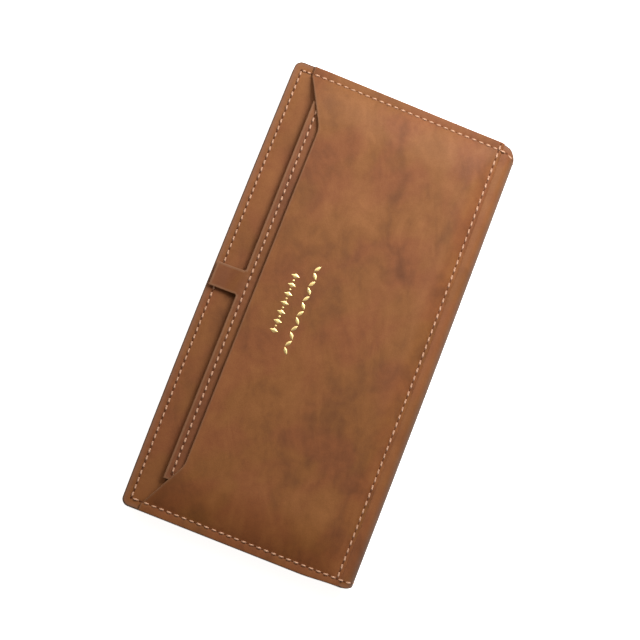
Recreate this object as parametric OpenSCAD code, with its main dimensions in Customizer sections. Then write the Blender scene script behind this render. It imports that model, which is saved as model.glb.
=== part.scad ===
// Long leather wallet that folds along its lower long edge, shown closed and lying on its back cover.
// X runs along the length, Y from the fold to the opening edge, Z up from the back cover to the front.
// A slanted pocket on the front cover holds a card sleeve that is drawn out by its tab, towards +Y.

/* [Covers] */
// Length of both covers
cover_l = 190; // [184:1:200]
// Closed width, from the outside of the fold to the opening edge
cover_w = 96; // [92:1:104]
// Radius of the two corners at the opening edge
corner_r = 3; // [2:0.5:6]
// Radius of the leather at each corner of the fold
fold_r = 4; // [3.5:0.1:4.5]
// Length that the spine falls short of the covers at each end
spine_inset = 1; // [0.5:0.1:2]

/* [Plies] */
// Thickness of the cover leather and of the pocket panel
leather_t = 1.0; // [0.8:0.1:1.2]
// Thickness of a lining together with the board inside it
lined_board_t = 0.9; // [0.8:0.1:1.2]
// Thickness of the stiffening board alone
board_t = 0.5; // [0.4:0.05:0.6]
// Thickness of a plain textile ply
cloth_t = 0.4; // [0.3:0.05:0.5]
// Thickness of a card slot ply
slot_t = 0.6; // [0.5:0.05:0.7]
// Running gap between pieces that move past each other
gap = 0.3; // [0.3:0.05:0.5]

/* [Stitching] */
// Distance from one stitch to the next
stitch_pitch = 3.1; // [2.8:0.1:3.6]
// Length of the thread that shows in one stitch
stitch_l = 2.1; // [1.6:0.1:2.4]
// Width of the thread
thread_w = 0.7; // [0.5:0.1:0.9]
// Height of the thread above the leather
thread_h = 0.3; // [0.2:0.05:0.35]
// Distance of the side stitching from the cover's end
side_seam = 3.4; // [3:0.1:4]
// Distance of the top stitching from the opening edge
top_seam = 3.6; // [3:0.1:4]
// Distance of the bottom stitching from the outside of the fold
bottom_seam = 6.2; // [6:0.1:7]

/* [Front pocket] */
// Distance of the pocket's straight mouth from the opening edge
mouth_drop = 18.5; // [17:0.5:22]
// Distance of the pocket's upper ends from the opening edge
wing_drop = 8; // [7:0.5:9]
// Distance of the mouth's corners from the cover's ends
mouth_inset = 23.5; // [20:0.5:28]
// Width of the flat sewn margin at the pocket's ends
margin_side = 5; // [4.5:0.5:6]
// Width of the slope between the sewn margin and the raised middle
slope_side = 7.7; // [6:0.1:8]

/* [Card sleeve] */
// Length of the card sleeve
sleeve_l = 161; // [150:1:163]
// Distance of the sleeve's top edge from the opening edge
sleeve_drop = 12.6; // [12:0.1:14]
// Height of the sleeve, without its tab
sleeve_h = 71; // [66:1:72]
// Thickness of each leather ply of the sleeve
sleeve_ply_t = 0.65; // [0.6:0.05:0.7]
// Thickness of the welt, which is the room for a card
card_room_t = 0.5; // [0.4:0.1:0.6]
// Place of the tab's centre along the length
tab_x = 2.5; // [-20:0.5:20]
// Width of the tab
tab_w = 9.8; // [8:0.2:14]
// Distance of the tab's end from the opening edge
tab_end = 0.9; // [0.5:0.1:2]
// Distance of the sleeve's stitching from its edges
sleeve_seam = 2.6; // [2:0.1:3]

/* [Coin pocket] */
// Length of the coin pocket
coin_l = 172; // [160:1:174]
// Place of the zip across the width
zip_y = 31; // [28:0.5:32]
// Length of the zip's window
zip_l = 152; // [120:1:154]
// Height of the zip's window
window_h = 7; // [7:0.5:8]
// Distance from one tooth to the next
tooth_pitch = 2.2; // [2:0.1:3]
// Depth of the coin pocket
coin_depth = 1.7; // [1.7:0.1:2]
// Length of the zip pull
pull_l = 24; // [16:1:30]

/* [Card slots] */
// Number of slots in each column
slot_rows = 3; // [3:1:3]
// Height that each slot shows above the one below it
slot_step = 11; // [9:0.5:12]
// Place of the uppermost slot's top edge
slot_top_y = 24; // [18:0.5:24]

/* [Ornament] */
// Length of the upper row of foil lozenges
lozenge_row_l = 27; // [20:1:34]
// Length of the lower row of foil leaves
leaf_row_l = 38; // [30:1:46]
// Thickness of the foil
foil_t = 0.05; // [0.04:0.01:0.1]

/* [Hidden] */
$fn = 48;
eps = 0.01;

hl = cover_l / 2;
hw = cover_w / 2;
groove_d = 0.45;
groove_w = 1.1;

// Heights of the faces, from the back cover up
z_back_lining = leather_t;
z_divider = z_back_lining + lined_board_t;
bill_room = 0.6;
z_coin_bag = z_divider + bill_room + cloth_t;
z_coin_floor = z_coin_bag + cloth_t;
z_coin_panel = z_coin_floor + coin_depth;
coin_panel_t = 0.9;
z_coin_top = z_coin_panel + coin_panel_t;
z_slots = z_coin_top + thread_h + gap;
z_slot_backing = z_slots + slot_rows * slot_t;
z_front_lining = z_slot_backing + cloth_t;
z_front_leather = z_front_lining + lined_board_t;
z_front = z_front_leather + leather_t;
z_sleeve = z_front + thread_h + gap;
z_welt = z_sleeve + sleeve_ply_t;
z_sleeve_front = z_welt + card_room_t;
z_sleeve_top = z_sleeve_front + sleeve_ply_t;
z_pocket_inner = z_sleeve_top + thread_h + gap;
z_pocket = z_pocket_inner + leather_t;

// Places across the width
spine_y = -hw + thread_h;
spine_end_y = spine_y + fold_r;
plate_y = spine_end_y + gap;
bottom_seam_y = -hw + bottom_seam;
top_seam_y = hw - top_seam;
side_seam_x = hl - side_seam;
mouth_y = hw - mouth_drop;
wing_y = hw - wing_drop;
mouth_x = hl - mouth_inset;
margin_y = bottom_seam_y + 1.3;
slope_y = 3.7;

// Inner pieces
bill_hl = hl - 4;
bill_y = plate_y + 1.4;
bill_top = hw - 5;
coin_hl = coin_l / 2;
coin_y = plate_y + 2.4;
coin_top = hw - 8;
coin_margin = 3;
slot_y = plate_y + 3.4;
slot_gap = 4;
slot_hl = hl - 7;

// Card sleeve
sleeve_x = 0.5;
sleeve_hl = sleeve_l / 2;
sleeve_top = hw - sleeve_drop;
sleeve_y = sleeve_top - sleeve_h;
tab_top = hw - tab_end;
tab_fall = 6;
welt_w = 4;

// Zip
zip_hl = zip_l / 2;
tooth_h = 1.0;
tooth_w = 1.1;
tooth_in = 0.5;
tooth_out = 2.0;
tape_hw = 5.5;
z_tape = z_coin_panel - cloth_t;
z_tooth = z_tape + cloth_t / 2 - tooth_h / 2;
slider_x = zip_hl - 8;
slider_l = 8;
slider_plate_t = 0.6;
slider_base_t = 0.4;
slider_hw = 2.9;
z_slider_base = z_tooth - gap - slider_base_t;
z_slider_plate = z_tooth + tooth_h + gap;
z_bail = z_slider_plate + slider_plate_t;
bail_l = 4;
bail_foot = 0.8;
bail_room = 0.8;
bail_t = 0.5;
bail_w = 1.4;
pull_w = 6;
pull_t = 0.6;

tan_leather = "#8f5a36";
dark_leather = "#6f4226";
thread_colour = "#e6bd98";
lining_colour = "#4a3426";
board_colour = "#b09a78";
brass_colour = "#b8964e";

// A cover's outline: square at the fold, with round corners at the opening edge
module cover_outline(inset = 0) {
    x = hl - inset;
    y = hw - inset;
    translate([-x, plate_y]) square([2 * x, y - corner_r - plate_y]);
    translate([-x + corner_r, y - corner_r - eps]) square([2 * (x - corner_r), corner_r + eps]);
    for (s = [-1, 1]) translate([s * (x - corner_r), y - corner_r]) circle(corner_r);
}

module cover_plate(z, t, inset = 0) {
    translate([0, 0, z]) linear_extrude(t) cover_outline(inset);
}

module slab(x0, x1, y0, y1, z0, z1) {
    translate([x0, y0, z0]) cube([x1 - x0, y1 - y0, z1 - z0]);
}

// The board lies 6 mm inside the cover's outline
module board(z) {
    slab(-hl + 6, hl - 6, plate_y + 3, hw - 6, z, z + board_t);
}

// One stitch along X: a low bar with bevelled sides
module stitch() {
    rotate([90, 0, 90]) linear_extrude(stitch_l, center = true)
        polygon([[-thread_w / 2, 0], [thread_w / 2, 0], [thread_w / 4, thread_h], [-thread_w / 4, thread_h]]);
}

// A straight seam between two points of one height, with whole stitches spread evenly
module seam(a, b, z) {
    run = norm(b - a);
    n = floor(run / stitch_pitch);
    turn = atan2(b.y - a.y, b.x - a.x);
    for (i = [0:n - 1])
        translate([each (a + (b - a) * (i + 0.5) / n), z]) rotate(turn) stitch();
}

// The same seam on the underside of a face
module seam_below(a, b, z) {
    translate([0, 0, 2 * z]) mirror([0, 0, 1]) seam(a, b, z);
}

// ---- Back cover ----

module back_leather() {
    x = side_seam_x;
    w = groove_w / 2;
    color(tan_leather) difference() {
        cover_plate(0, leather_t);
        for (y = [bottom_seam_y, top_seam_y]) slab(-x - w, x + w, y - w, y + w, -1, groove_d);
        for (s = [-1, 1]) slab(s * x - w, s * x + w, plate_y - 1, top_seam_y + w, -1, groove_d);
    }
}

module back_stiffener() {
    color(board_colour) board(z_back_lining);
}

module back_lining() {
    color(lining_colour) difference() {
        cover_plate(z_back_lining, lined_board_t);
        board(z_back_lining);
    }
}

module back_stitches() {
    x = side_seam_x;
    color(thread_colour) {
        for (y = [bottom_seam_y, top_seam_y]) seam_below([-x + 1, y], [x - 1, y], groove_d);
        for (s = [-1, 1]) seam_below([s * x, bottom_seam_y + 1], [s * x, top_seam_y - 1], groove_d);
    }
}

// A sheet sewn down at its ends and bottom, with room for banknotes under it
module bill_divider() {
    color(lining_colour) difference() {
        slab(-bill_hl, bill_hl, bill_y, bill_top, z_divider, z_coin_bag);
        slab(-bill_hl + 3, bill_hl - 3, bill_y + 3, bill_top + 1, z_divider - 1, z_divider + bill_room);
    }
}

module coin_bag() {
    m = coin_margin;
    color(lining_colour) difference() {
        slab(-coin_hl, coin_hl, coin_y, coin_top, z_coin_bag, z_coin_panel);
        slab(-coin_hl + m, coin_hl - m, coin_y + m, coin_top - m, z_coin_floor, z_coin_panel + 1);
    }
}

module coin_panel() {
    color(tan_leather) difference() {
        slab(-coin_hl, coin_hl, coin_y, coin_top, z_coin_panel, z_coin_top);
        slab(-zip_hl, zip_hl, zip_y - window_h / 2, zip_y + window_h / 2, z_coin_panel - 1, z_coin_top + 1);
    }
}

module coin_stitches() {
    x = zip_hl + 1.5;
    y = window_h / 2 + 1.5;
    color(thread_colour) {
        for (s = [-1, 1]) {
            seam([-x + 1, zip_y + s * y], [x - 1, zip_y + s * y], z_coin_top);
            seam([s * x, zip_y - y], [s * x, zip_y + y], z_coin_top);
        }
    }
}

module zip_tapes() {
    color(dark_leather) for (s = [-1, 1])
        slab(-zip_hl - 3, zip_hl + 3, zip_y + min(s * tooth_out, s * tape_hw),
            zip_y + max(s * tooth_out, s * tape_hw), z_tape, z_coin_panel);
}

module tooth_row(side) {
    n = floor((zip_l - 8) / tooth_pitch);
    for (i = [0:n - 1])
        translate([(i - (n - 1) / 2) * tooth_pitch, 0, 0])
            slab(-tooth_w / 2, tooth_w / 2, zip_y + min(side * tooth_in, side * tooth_out),
                zip_y + max(side * tooth_in, side * tooth_out), z_tooth, z_tooth + tooth_h);
}

module zip_teeth_upper() {
    color(brass_colour) tooth_row(1);
}

module zip_teeth_lower() {
    color(brass_colour) tooth_row(-1);
}

// A stop bridges both rows at each end of the zip
module zip_stops() {
    color(brass_colour) for (s = [-1, 1])
        slab(s * (zip_hl - 2) - 0.8, s * (zip_hl - 2) + 0.8, zip_y - tooth_out, zip_y + tooth_out,
            z_tooth, z_tooth + tooth_h);
}

// ---- Zip slider ----

module zip_slider() {
    x = slider_l / 2;
    w = slider_hw;
    color(brass_colour) translate([slider_x, zip_y, 0]) {
        slab(-x, x, -w, w, z_slider_plate, z_bail);
        slab(-x, x, -w, w, z_slider_base, z_slider_base + slider_base_t);
        slab(x - 2, x, -0.2, 0.2, z_slider_base, z_bail);
        for (s = [-1, 1]) {
            slab(-x, x, s * w - (s + 1) / 2 * 0.5, s * w - (s - 1) / 2 * 0.5,
                z_slider_plate - gap, z_slider_plate + eps);
        }
    }
}

// An arch on the slider: two feet and a bar
module zip_bail() {
    color(brass_colour) translate([slider_x, zip_y, 0]) difference() {
        slab(-bail_l / 2, bail_l / 2, -bail_w / 2, bail_w / 2, z_bail, z_bail + bail_room + bail_t);
        slab(-bail_l / 2 + bail_foot, bail_l / 2 - bail_foot, -bail_w, bail_w, z_bail - 1, z_bail + bail_room);
    }
}

// The pull lies flat towards -X, with its eye round the bail's rear foot
module zip_pull() {
    eye_r = 1.3;
    hole_r = 1.2;
    z = z_bail + 0.05;
    color(brass_colour) translate([slider_x, zip_y, z]) difference() {
        union() {
            slab(-pull_l + 3, -2, -pull_w / 2, pull_w / 2, 0, pull_t);
            translate([-pull_l + 3, 0, 0]) cylinder(pull_t, r = pull_w / 2);
            slab(-3, 0.5, -pull_w / 3, pull_w / 3, 0, pull_t);
        }
        slab(-2.4, -0.6, -eye_r, eye_r, -1, pull_t + 1);
        translate([-pull_l + 3, 0, -1]) cylinder(pull_t + 2, r = hole_r);
    }
}

// ---- Spine ----

// Cross-section of a ply that turns round the fold, between two depths below the leather's face
module fold_section(depth0, depth1) {
    difference() {
        fold_block(depth0);
        fold_block(depth1);
        translate([spine_end_y, -1]) square([3 * fold_r, z_front + 2]);
    }
}

module fold_block(depth) {
    r = fold_r - depth;
    translate([spine_y + depth, fold_r]) square([fold_r + 2, z_front - 2 * fold_r]);
    for (z = [fold_r, z_front - fold_r]) translate([spine_y + fold_r, z]) circle(r);
    translate([spine_y + fold_r, depth]) square([fold_r, z_front - 2 * depth]);
}

module along_spine(length) {
    rotate([90, 0, 90]) linear_extrude(length, center = true) children();
}

module spine_leather() {
    color(tan_leather) along_spine(cover_l - 2 * spine_inset) fold_section(0, leather_t);
}

module spine_lining() {
    color(lining_colour) along_spine(cover_l - 2 * spine_inset) fold_section(leather_t, leather_t + cloth_t);
}

// The side seams carry on round the fold: two stitches on each round corner and one on the flat
module spine_stitches() {
    zc = z_front - fold_r;
    color(thread_colour) for (s = [-1, 1]) translate([s * side_seam_x, 0, 0]) {
        for (a = [20, 60]) translate([0, spine_y + fold_r, zc]) rotate([a, 0, 0])
            translate([0, 0, fold_r]) rotate(90) stitch();
        translate([0, spine_y, z_front / 2]) rotate([90, 0, 0]) rotate(90) stitch();
    }
}

// ---- Front cover ----

module front_leather() {
    color(tan_leather) cover_plate(z_front_leather, leather_t);
}

module front_stiffener() {
    color(board_colour) board(z_front_leather - board_t);
}

module front_lining() {
    color(lining_colour) difference() {
        cover_plate(z_front_lining, lined_board_t);
        board(z_front_leather - board_t);
    }
}

module slot_backing() {
    color(lining_colour) slab(-bill_hl, bill_hl, bill_y, bill_top, z_slot_backing, z_front_lining);
}

// Slot 1 is the uppermost and lies deepest; each later slot is one step lower and one ply nearer
module card_slot(side, row) {
    top = slot_top_y - (row - 1) * slot_step;
    z = z_slot_backing - row * slot_t;
    color(tan_leather) slab(side > 0 ? slot_gap / 2 : -slot_hl, side > 0 ? slot_hl : -slot_gap / 2,
        slot_y, top, z, z + slot_t);
}

module left_slot_1() { card_slot(-1, 1); }
module left_slot_2() { card_slot(-1, 2); }
module left_slot_3() { card_slot(-1, 3); }
module right_slot_1() { card_slot(1, 1); }
module right_slot_2() { card_slot(1, 2); }
module right_slot_3() { card_slot(1, 3); }

// Each column of slots is sewn down at its two ends
module slot_stitches() {
    lowest = slot_top_y - (slot_rows - 1) * slot_step;
    color(thread_colour) for (s = [-1, 1], x = [slot_gap / 2 + 1.6, slot_hl - 1.6])
        seam_below([s * x, slot_y], [s * x, lowest], z_slots);
}

// The pocket's section along X, raised in the middle and flat at its sewn ends
module pocket_section_x(z_low, z_high, end_x) {
    x1 = hl - margin_side;
    x2 = x1 - slope_side;
    polygon([[-end_x, z_front], [-end_x, z_low], [-x1, z_low], [-x2, z_high],
        [x2, z_high], [x1, z_low], [end_x, z_low], [end_x, z_front]]);
}

// The pocket's section along Y, sewn flat at the bottom and open at the top
module pocket_section_y(z_low, z_high, end_y) {
    polygon([[end_y, z_front], [end_y, z_low], [margin_y, z_low], [margin_y + slope_y, z_high],
        [hw, z_high], [hw, z_front]]);
}

module pocket_block(z_low, z_high, end_x, end_y) {
    intersection() {
        rotate([90, 0, 0]) linear_extrude(2 * cover_w, center = true) pocket_section_x(z_low, z_high, end_x);
        rotate([90, 0, 90]) linear_extrude(2 * cover_l, center = true) pocket_section_y(z_low, z_high, end_y);
    }
}

// The mouth runs straight in the middle and climbs to a wing at each end
module mouth_outline() {
    polygon([[-hl, plate_y], [-hl, wing_y], [-side_seam_x, wing_y], [-mouth_x, mouth_y],
        [mouth_x, mouth_y], [side_seam_x, wing_y], [hl, wing_y], [hl, plate_y]]);
}

module pocket_panel() {
    color(tan_leather) difference() {
        intersection() {
            pocket_block(z_front + leather_t, z_pocket, hl, plate_y);
            linear_extrude(z_pocket + 1) mouth_outline();
        }
        translate([0, 0, -eps]) pocket_block(z_front, z_pocket_inner + eps, hl - margin_side, margin_y);
    }
}

module top_stitches() {
    color(thread_colour) seam([-side_seam_x + 1, top_seam_y], [side_seam_x - 1, top_seam_y], z_front);
}

// Each side seam lies on the cover above the pocket's wing and on the pocket below it
module side_stitches() {
    color(thread_colour) for (s = [-1, 1]) {
        seam([s * side_seam_x, wing_y + 0.4], [s * side_seam_x, top_seam_y - 0.6], z_front);
        seam([s * side_seam_x, bottom_seam_y + 0.8], [s * side_seam_x, wing_y - 0.4], z_front + leather_t);
    }
}

module bottom_stitches() {
    color(thread_colour)
        seam([-side_seam_x + 1, bottom_seam_y], [side_seam_x - 1, bottom_seam_y], z_front + leather_t);
}

module lozenge(l, w) {
    polygon([[-l / 2, 0], [0, -w / 2], [l / 2, 0], [0, w / 2]]);
}

// A row of upright lozenges with dots between them, over a row of leaves that lean to both sides
module foil_ornament() {
    lozenges = 7;
    leaves = 12;
    color("gold") translate([1, 0, z_pocket]) linear_extrude(foil_t) {
        for (i = [0:lozenges - 1]) translate([(i - (lozenges - 1) / 2) * lozenge_row_l / lozenges, 17])
            lozenge(1.9, 3.6);
        for (i = [0:lozenges - 2]) translate([(i - (lozenges - 2) / 2) * lozenge_row_l / lozenges, 17])
            circle(0.4);
        for (i = [0:leaves - 1]) translate([(i - (leaves - 1) / 2) * leaf_row_l / leaves, 9.8])
            rotate(i % 2 == 0 ? 35 : -35) lozenge(3.2, 1.2);
    }
}

// ---- Card sleeve ----

module sleeve_slab(z0, z1) {
    slab(sleeve_x - sleeve_hl, sleeve_x + sleeve_hl, sleeve_y, sleeve_top, z0, z1);
}

// The front ply carries the tab, which falls towards the cover and runs on flat above its seam
module sleeve_front() {
    t = sleeve_ply_t;
    color(tan_leather) {
        sleeve_slab(z_sleeve_front, z_sleeve_top);
        translate([tab_x, 0, 0]) rotate([90, 0, 90]) linear_extrude(tab_w, center = true)
            polygon([[sleeve_top - 1, z_sleeve_front], [sleeve_top - 1, z_sleeve_top],
                [sleeve_top, z_sleeve_top], [sleeve_top + tab_fall, z_sleeve + t],
                [tab_top, z_sleeve + t], [tab_top, z_sleeve],
                [sleeve_top + tab_fall, z_sleeve], [sleeve_top, z_sleeve_front]]);
    }
}

// A frame between the plies, open at one end, where the cards go in
module sleeve_welt() {
    w = welt_w;
    color(dark_leather) difference() {
        sleeve_slab(z_welt, z_sleeve_front);
        slab(sleeve_x - sleeve_hl + w, sleeve_x + sleeve_hl + 1, sleeve_y + w, sleeve_top - w,
            z_welt - 1, z_sleeve_front + 1);
    }
}

module sleeve_back() {
    color(tan_leather) sleeve_slab(z_sleeve, z_welt);
}

module sleeve_stitches() {
    x0 = sleeve_x - sleeve_hl + sleeve_seam;
    x1 = sleeve_x + sleeve_hl - sleeve_seam;
    y0 = sleeve_y + sleeve_seam;
    y1 = sleeve_top - sleeve_seam;
    color(thread_colour) {
        for (y = [y0, y1]) seam([x0 + 1, y], [x1 - 1, y], z_sleeve_top);
        seam([x0, y0 + 1], [x0, y1 - 1], z_sleeve_top);
    }
}

back_leather();
back_stiffener();
back_lining();
back_stitches();
bill_divider();
coin_bag();
coin_panel();
coin_stitches();
zip_tapes();
zip_teeth_upper();
zip_teeth_lower();
zip_stops();
zip_slider();
zip_bail();
zip_pull();
spine_leather();
spine_lining();
spine_stitches();
front_leather();
front_stiffener();
front_lining();
slot_backing();
left_slot_1();
left_slot_2();
left_slot_3();
right_slot_1();
right_slot_2();
right_slot_3();
slot_stitches();
pocket_panel();
top_stitches();
side_stitches();
bottom_stitches();
foil_ornament();
sleeve_front();
sleeve_welt();
sleeve_back();
sleeve_stitches();
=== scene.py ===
"""A slim long wallet in oiled brown leather, closed and lying on its back cover.

Every piece is a surface worked out on a grid and given its thickness, so leather, cloth and thread
are real closed shapes. X runs along the wallet, Y from the fold to the opening edge, Z upwards.
"""

from __future__ import annotations

import logging
import math
from dataclasses import dataclass
from enum import Enum
from typing import Callable, Sequence

import bpy
import numpy as np
from mathutils import Matrix, Vector


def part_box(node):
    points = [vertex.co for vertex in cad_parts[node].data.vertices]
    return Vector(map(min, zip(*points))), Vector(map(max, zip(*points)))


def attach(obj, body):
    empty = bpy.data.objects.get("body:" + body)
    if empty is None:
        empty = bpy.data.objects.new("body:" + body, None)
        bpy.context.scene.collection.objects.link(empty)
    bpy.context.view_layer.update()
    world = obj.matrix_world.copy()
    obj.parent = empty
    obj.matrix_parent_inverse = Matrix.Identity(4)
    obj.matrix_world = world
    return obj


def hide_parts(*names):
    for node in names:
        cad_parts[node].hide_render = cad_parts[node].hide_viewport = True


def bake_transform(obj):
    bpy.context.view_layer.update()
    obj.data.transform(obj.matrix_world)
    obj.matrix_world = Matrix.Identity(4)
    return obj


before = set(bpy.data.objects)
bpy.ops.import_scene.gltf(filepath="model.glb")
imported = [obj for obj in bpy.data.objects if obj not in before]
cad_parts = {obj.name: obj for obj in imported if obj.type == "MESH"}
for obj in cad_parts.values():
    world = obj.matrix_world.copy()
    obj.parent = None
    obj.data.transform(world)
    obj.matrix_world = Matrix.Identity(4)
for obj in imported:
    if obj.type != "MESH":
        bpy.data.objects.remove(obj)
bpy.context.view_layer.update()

MM = 0.001
WANDER_MM = 11.0
FloatArray = np.ndarray
Height = Callable[[FloatArray, FloatArray], FloatArray]
Colour = tuple[float, float, float]

log = logging.getLogger("wallet")


# ---------------------------------------------------------------------------------------------
# Shapes
# ---------------------------------------------------------------------------------------------


def smooth(x: FloatArray, low: float, high: float) -> FloatArray:
    """A soft step: 0 below low, 1 above high, and 3t^2 - 2t^3 between them.

    Args:
        x: The values to step.
        low: Where the step starts.
        high: Where the step ends. It may be below low, and the step then falls.

    Returns:
        The step's height at each value.
    """
    t = np.clip((x - low) / (high - low), 0.0, 1.0)
    return t * t * (3.0 - 2.0 * t)


def ridge(distance: FloatArray, width: float) -> FloatArray:
    """A bell of height 1 about distance 0, which falls as exp(-(d / width)^2)."""
    return np.exp(-((distance / width) ** 2))


def graded(low: float, high: float, step: float) -> FloatArray:
    """Grid lines from low to high that crowd together at both ends, where a cut edge is rounded.

    Args:
        low: The first line.
        high: The last line.
        step: The distance between lines away from the ends, in metres.

    Returns:
        The places of the lines, in rising order.
    """
    rim = np.array([0.0, 0.03, 0.09, 0.18, 0.32, 0.55, 0.95]) * MM
    count = max(2, round((high - low - 2 * rim[-1]) / step) + 1)
    inner = np.linspace(low + rim[-1], high - rim[-1], count)
    return np.concatenate([low + rim[:-1], inner, (high - rim[:-1])[::-1]])


def rounded_inset(x: FloatArray, y: FloatArray, half_x: float, half_y: float, radius: float) -> FloatArray:
    """The distance inwards from the outline of a rectangle with round corners, centred at 0, 0.

    Past both corner centres it is the radius less the distance to the corner's centre, and
    elsewhere it is the distance to the nearer side.

    Args:
        x: Places along X.
        y: Places along Y.
        half_x: Half the rectangle's length.
        half_y: Half the rectangle's width.
        radius: The corners' radius.

    Returns:
        The distance, positive inside.
    """
    qx, qy = np.abs(x) - (half_x - radius), np.abs(y) - (half_y - radius)
    outside = np.hypot(np.maximum(qx, 0.0), np.maximum(qy, 0.0))
    return radius - outside - np.minimum(np.maximum(qx, qy), 0.0)


def corner_cut(y: FloatArray, half_y: float, radius: float) -> FloatArray:
    """How far a round corner takes the end of a rectangle in at height y: r - sqrt(r^2 - d^2)."""
    past = np.clip(np.abs(y) - (half_y - radius), 0.0, radius)
    return radius - np.sqrt(np.maximum(radius**2 - past**2, 0.0))


def surface_normals(points: FloatArray) -> FloatArray:
    """Unit normals of a grid of points: the cross product of its steps along columns and rows.

    Args:
        points: A (rows, columns, 3) grid of points.

    Returns:
        One unit normal for each point.
    """
    across = np.gradient(points, axis=1)
    along = np.gradient(points, axis=0)
    normal = np.cross(across, along)
    return normal / np.maximum(np.linalg.norm(normal, axis=2, keepdims=True), 1e-12)


def mesh_object(
    name: str,
    vertices: FloatArray,
    faces: Sequence[FloatArray],
    crease_deg: float = 50.0,
) -> bpy.types.Object:
    """Puts vertices and faces into a new object at the origin.

    Args:
        name: The object's name.
        vertices: An (n, 3) array of points in metres.
        faces: Arrays of vertex indices, one array for each number of corners.
        crease_deg: Edges that bend more than this are shaded sharp.

    Returns:
        The new object, linked to the scene.
    """
    faces = [f for f in faces if len(f)]
    corners = np.concatenate([f.ravel() for f in faces])
    totals = np.concatenate([np.full(len(f), f.shape[1]) for f in faces])
    starts = np.concatenate([[0], np.cumsum(totals)[:-1]])
    mesh = bpy.data.meshes.new(name)
    mesh.vertices.add(len(vertices))
    mesh.vertices.foreach_set("co", vertices.astype(np.float32).ravel())
    mesh.loops.add(len(corners))
    mesh.loops.foreach_set("vertex_index", corners.astype(np.int32))
    mesh.polygons.add(len(totals))
    mesh.polygons.foreach_set("loop_start", starts.astype(np.int32))
    mesh.update(calc_edges=True)
    mesh.validate()
    mesh.shade_smooth()
    mesh.set_sharp_from_angle(angle=math.radians(crease_deg))
    made = bpy.data.objects.new(name, mesh)
    bpy.context.scene.collection.objects.link(made)
    return made


def point_value(piece: bpy.types.Object, name: str, values: FloatArray) -> None:
    """Stores one number for each vertex under a name that a finish can read."""
    attribute = piece.data.attributes.new(name, "FLOAT", "POINT")
    attribute.data.foreach_set("value", values.astype(np.float32))


def flat_map(piece: bpy.types.Object, places: FloatArray) -> None:
    """Gives a piece the UV map 'flat', in metres on the uncut leather, from one place per vertex.

    Args:
        piece: The piece.
        places: One place for each vertex, in metres.
    """
    corner_vertex = np.zeros(len(piece.data.loops), np.int32)
    piece.data.loops.foreach_get("vertex_index", corner_vertex)
    layer = piece.data.uv_layers.new(name="flat")
    layer.data.foreach_set("uv", places[corner_vertex].astype(np.float32).ravel())


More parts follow.
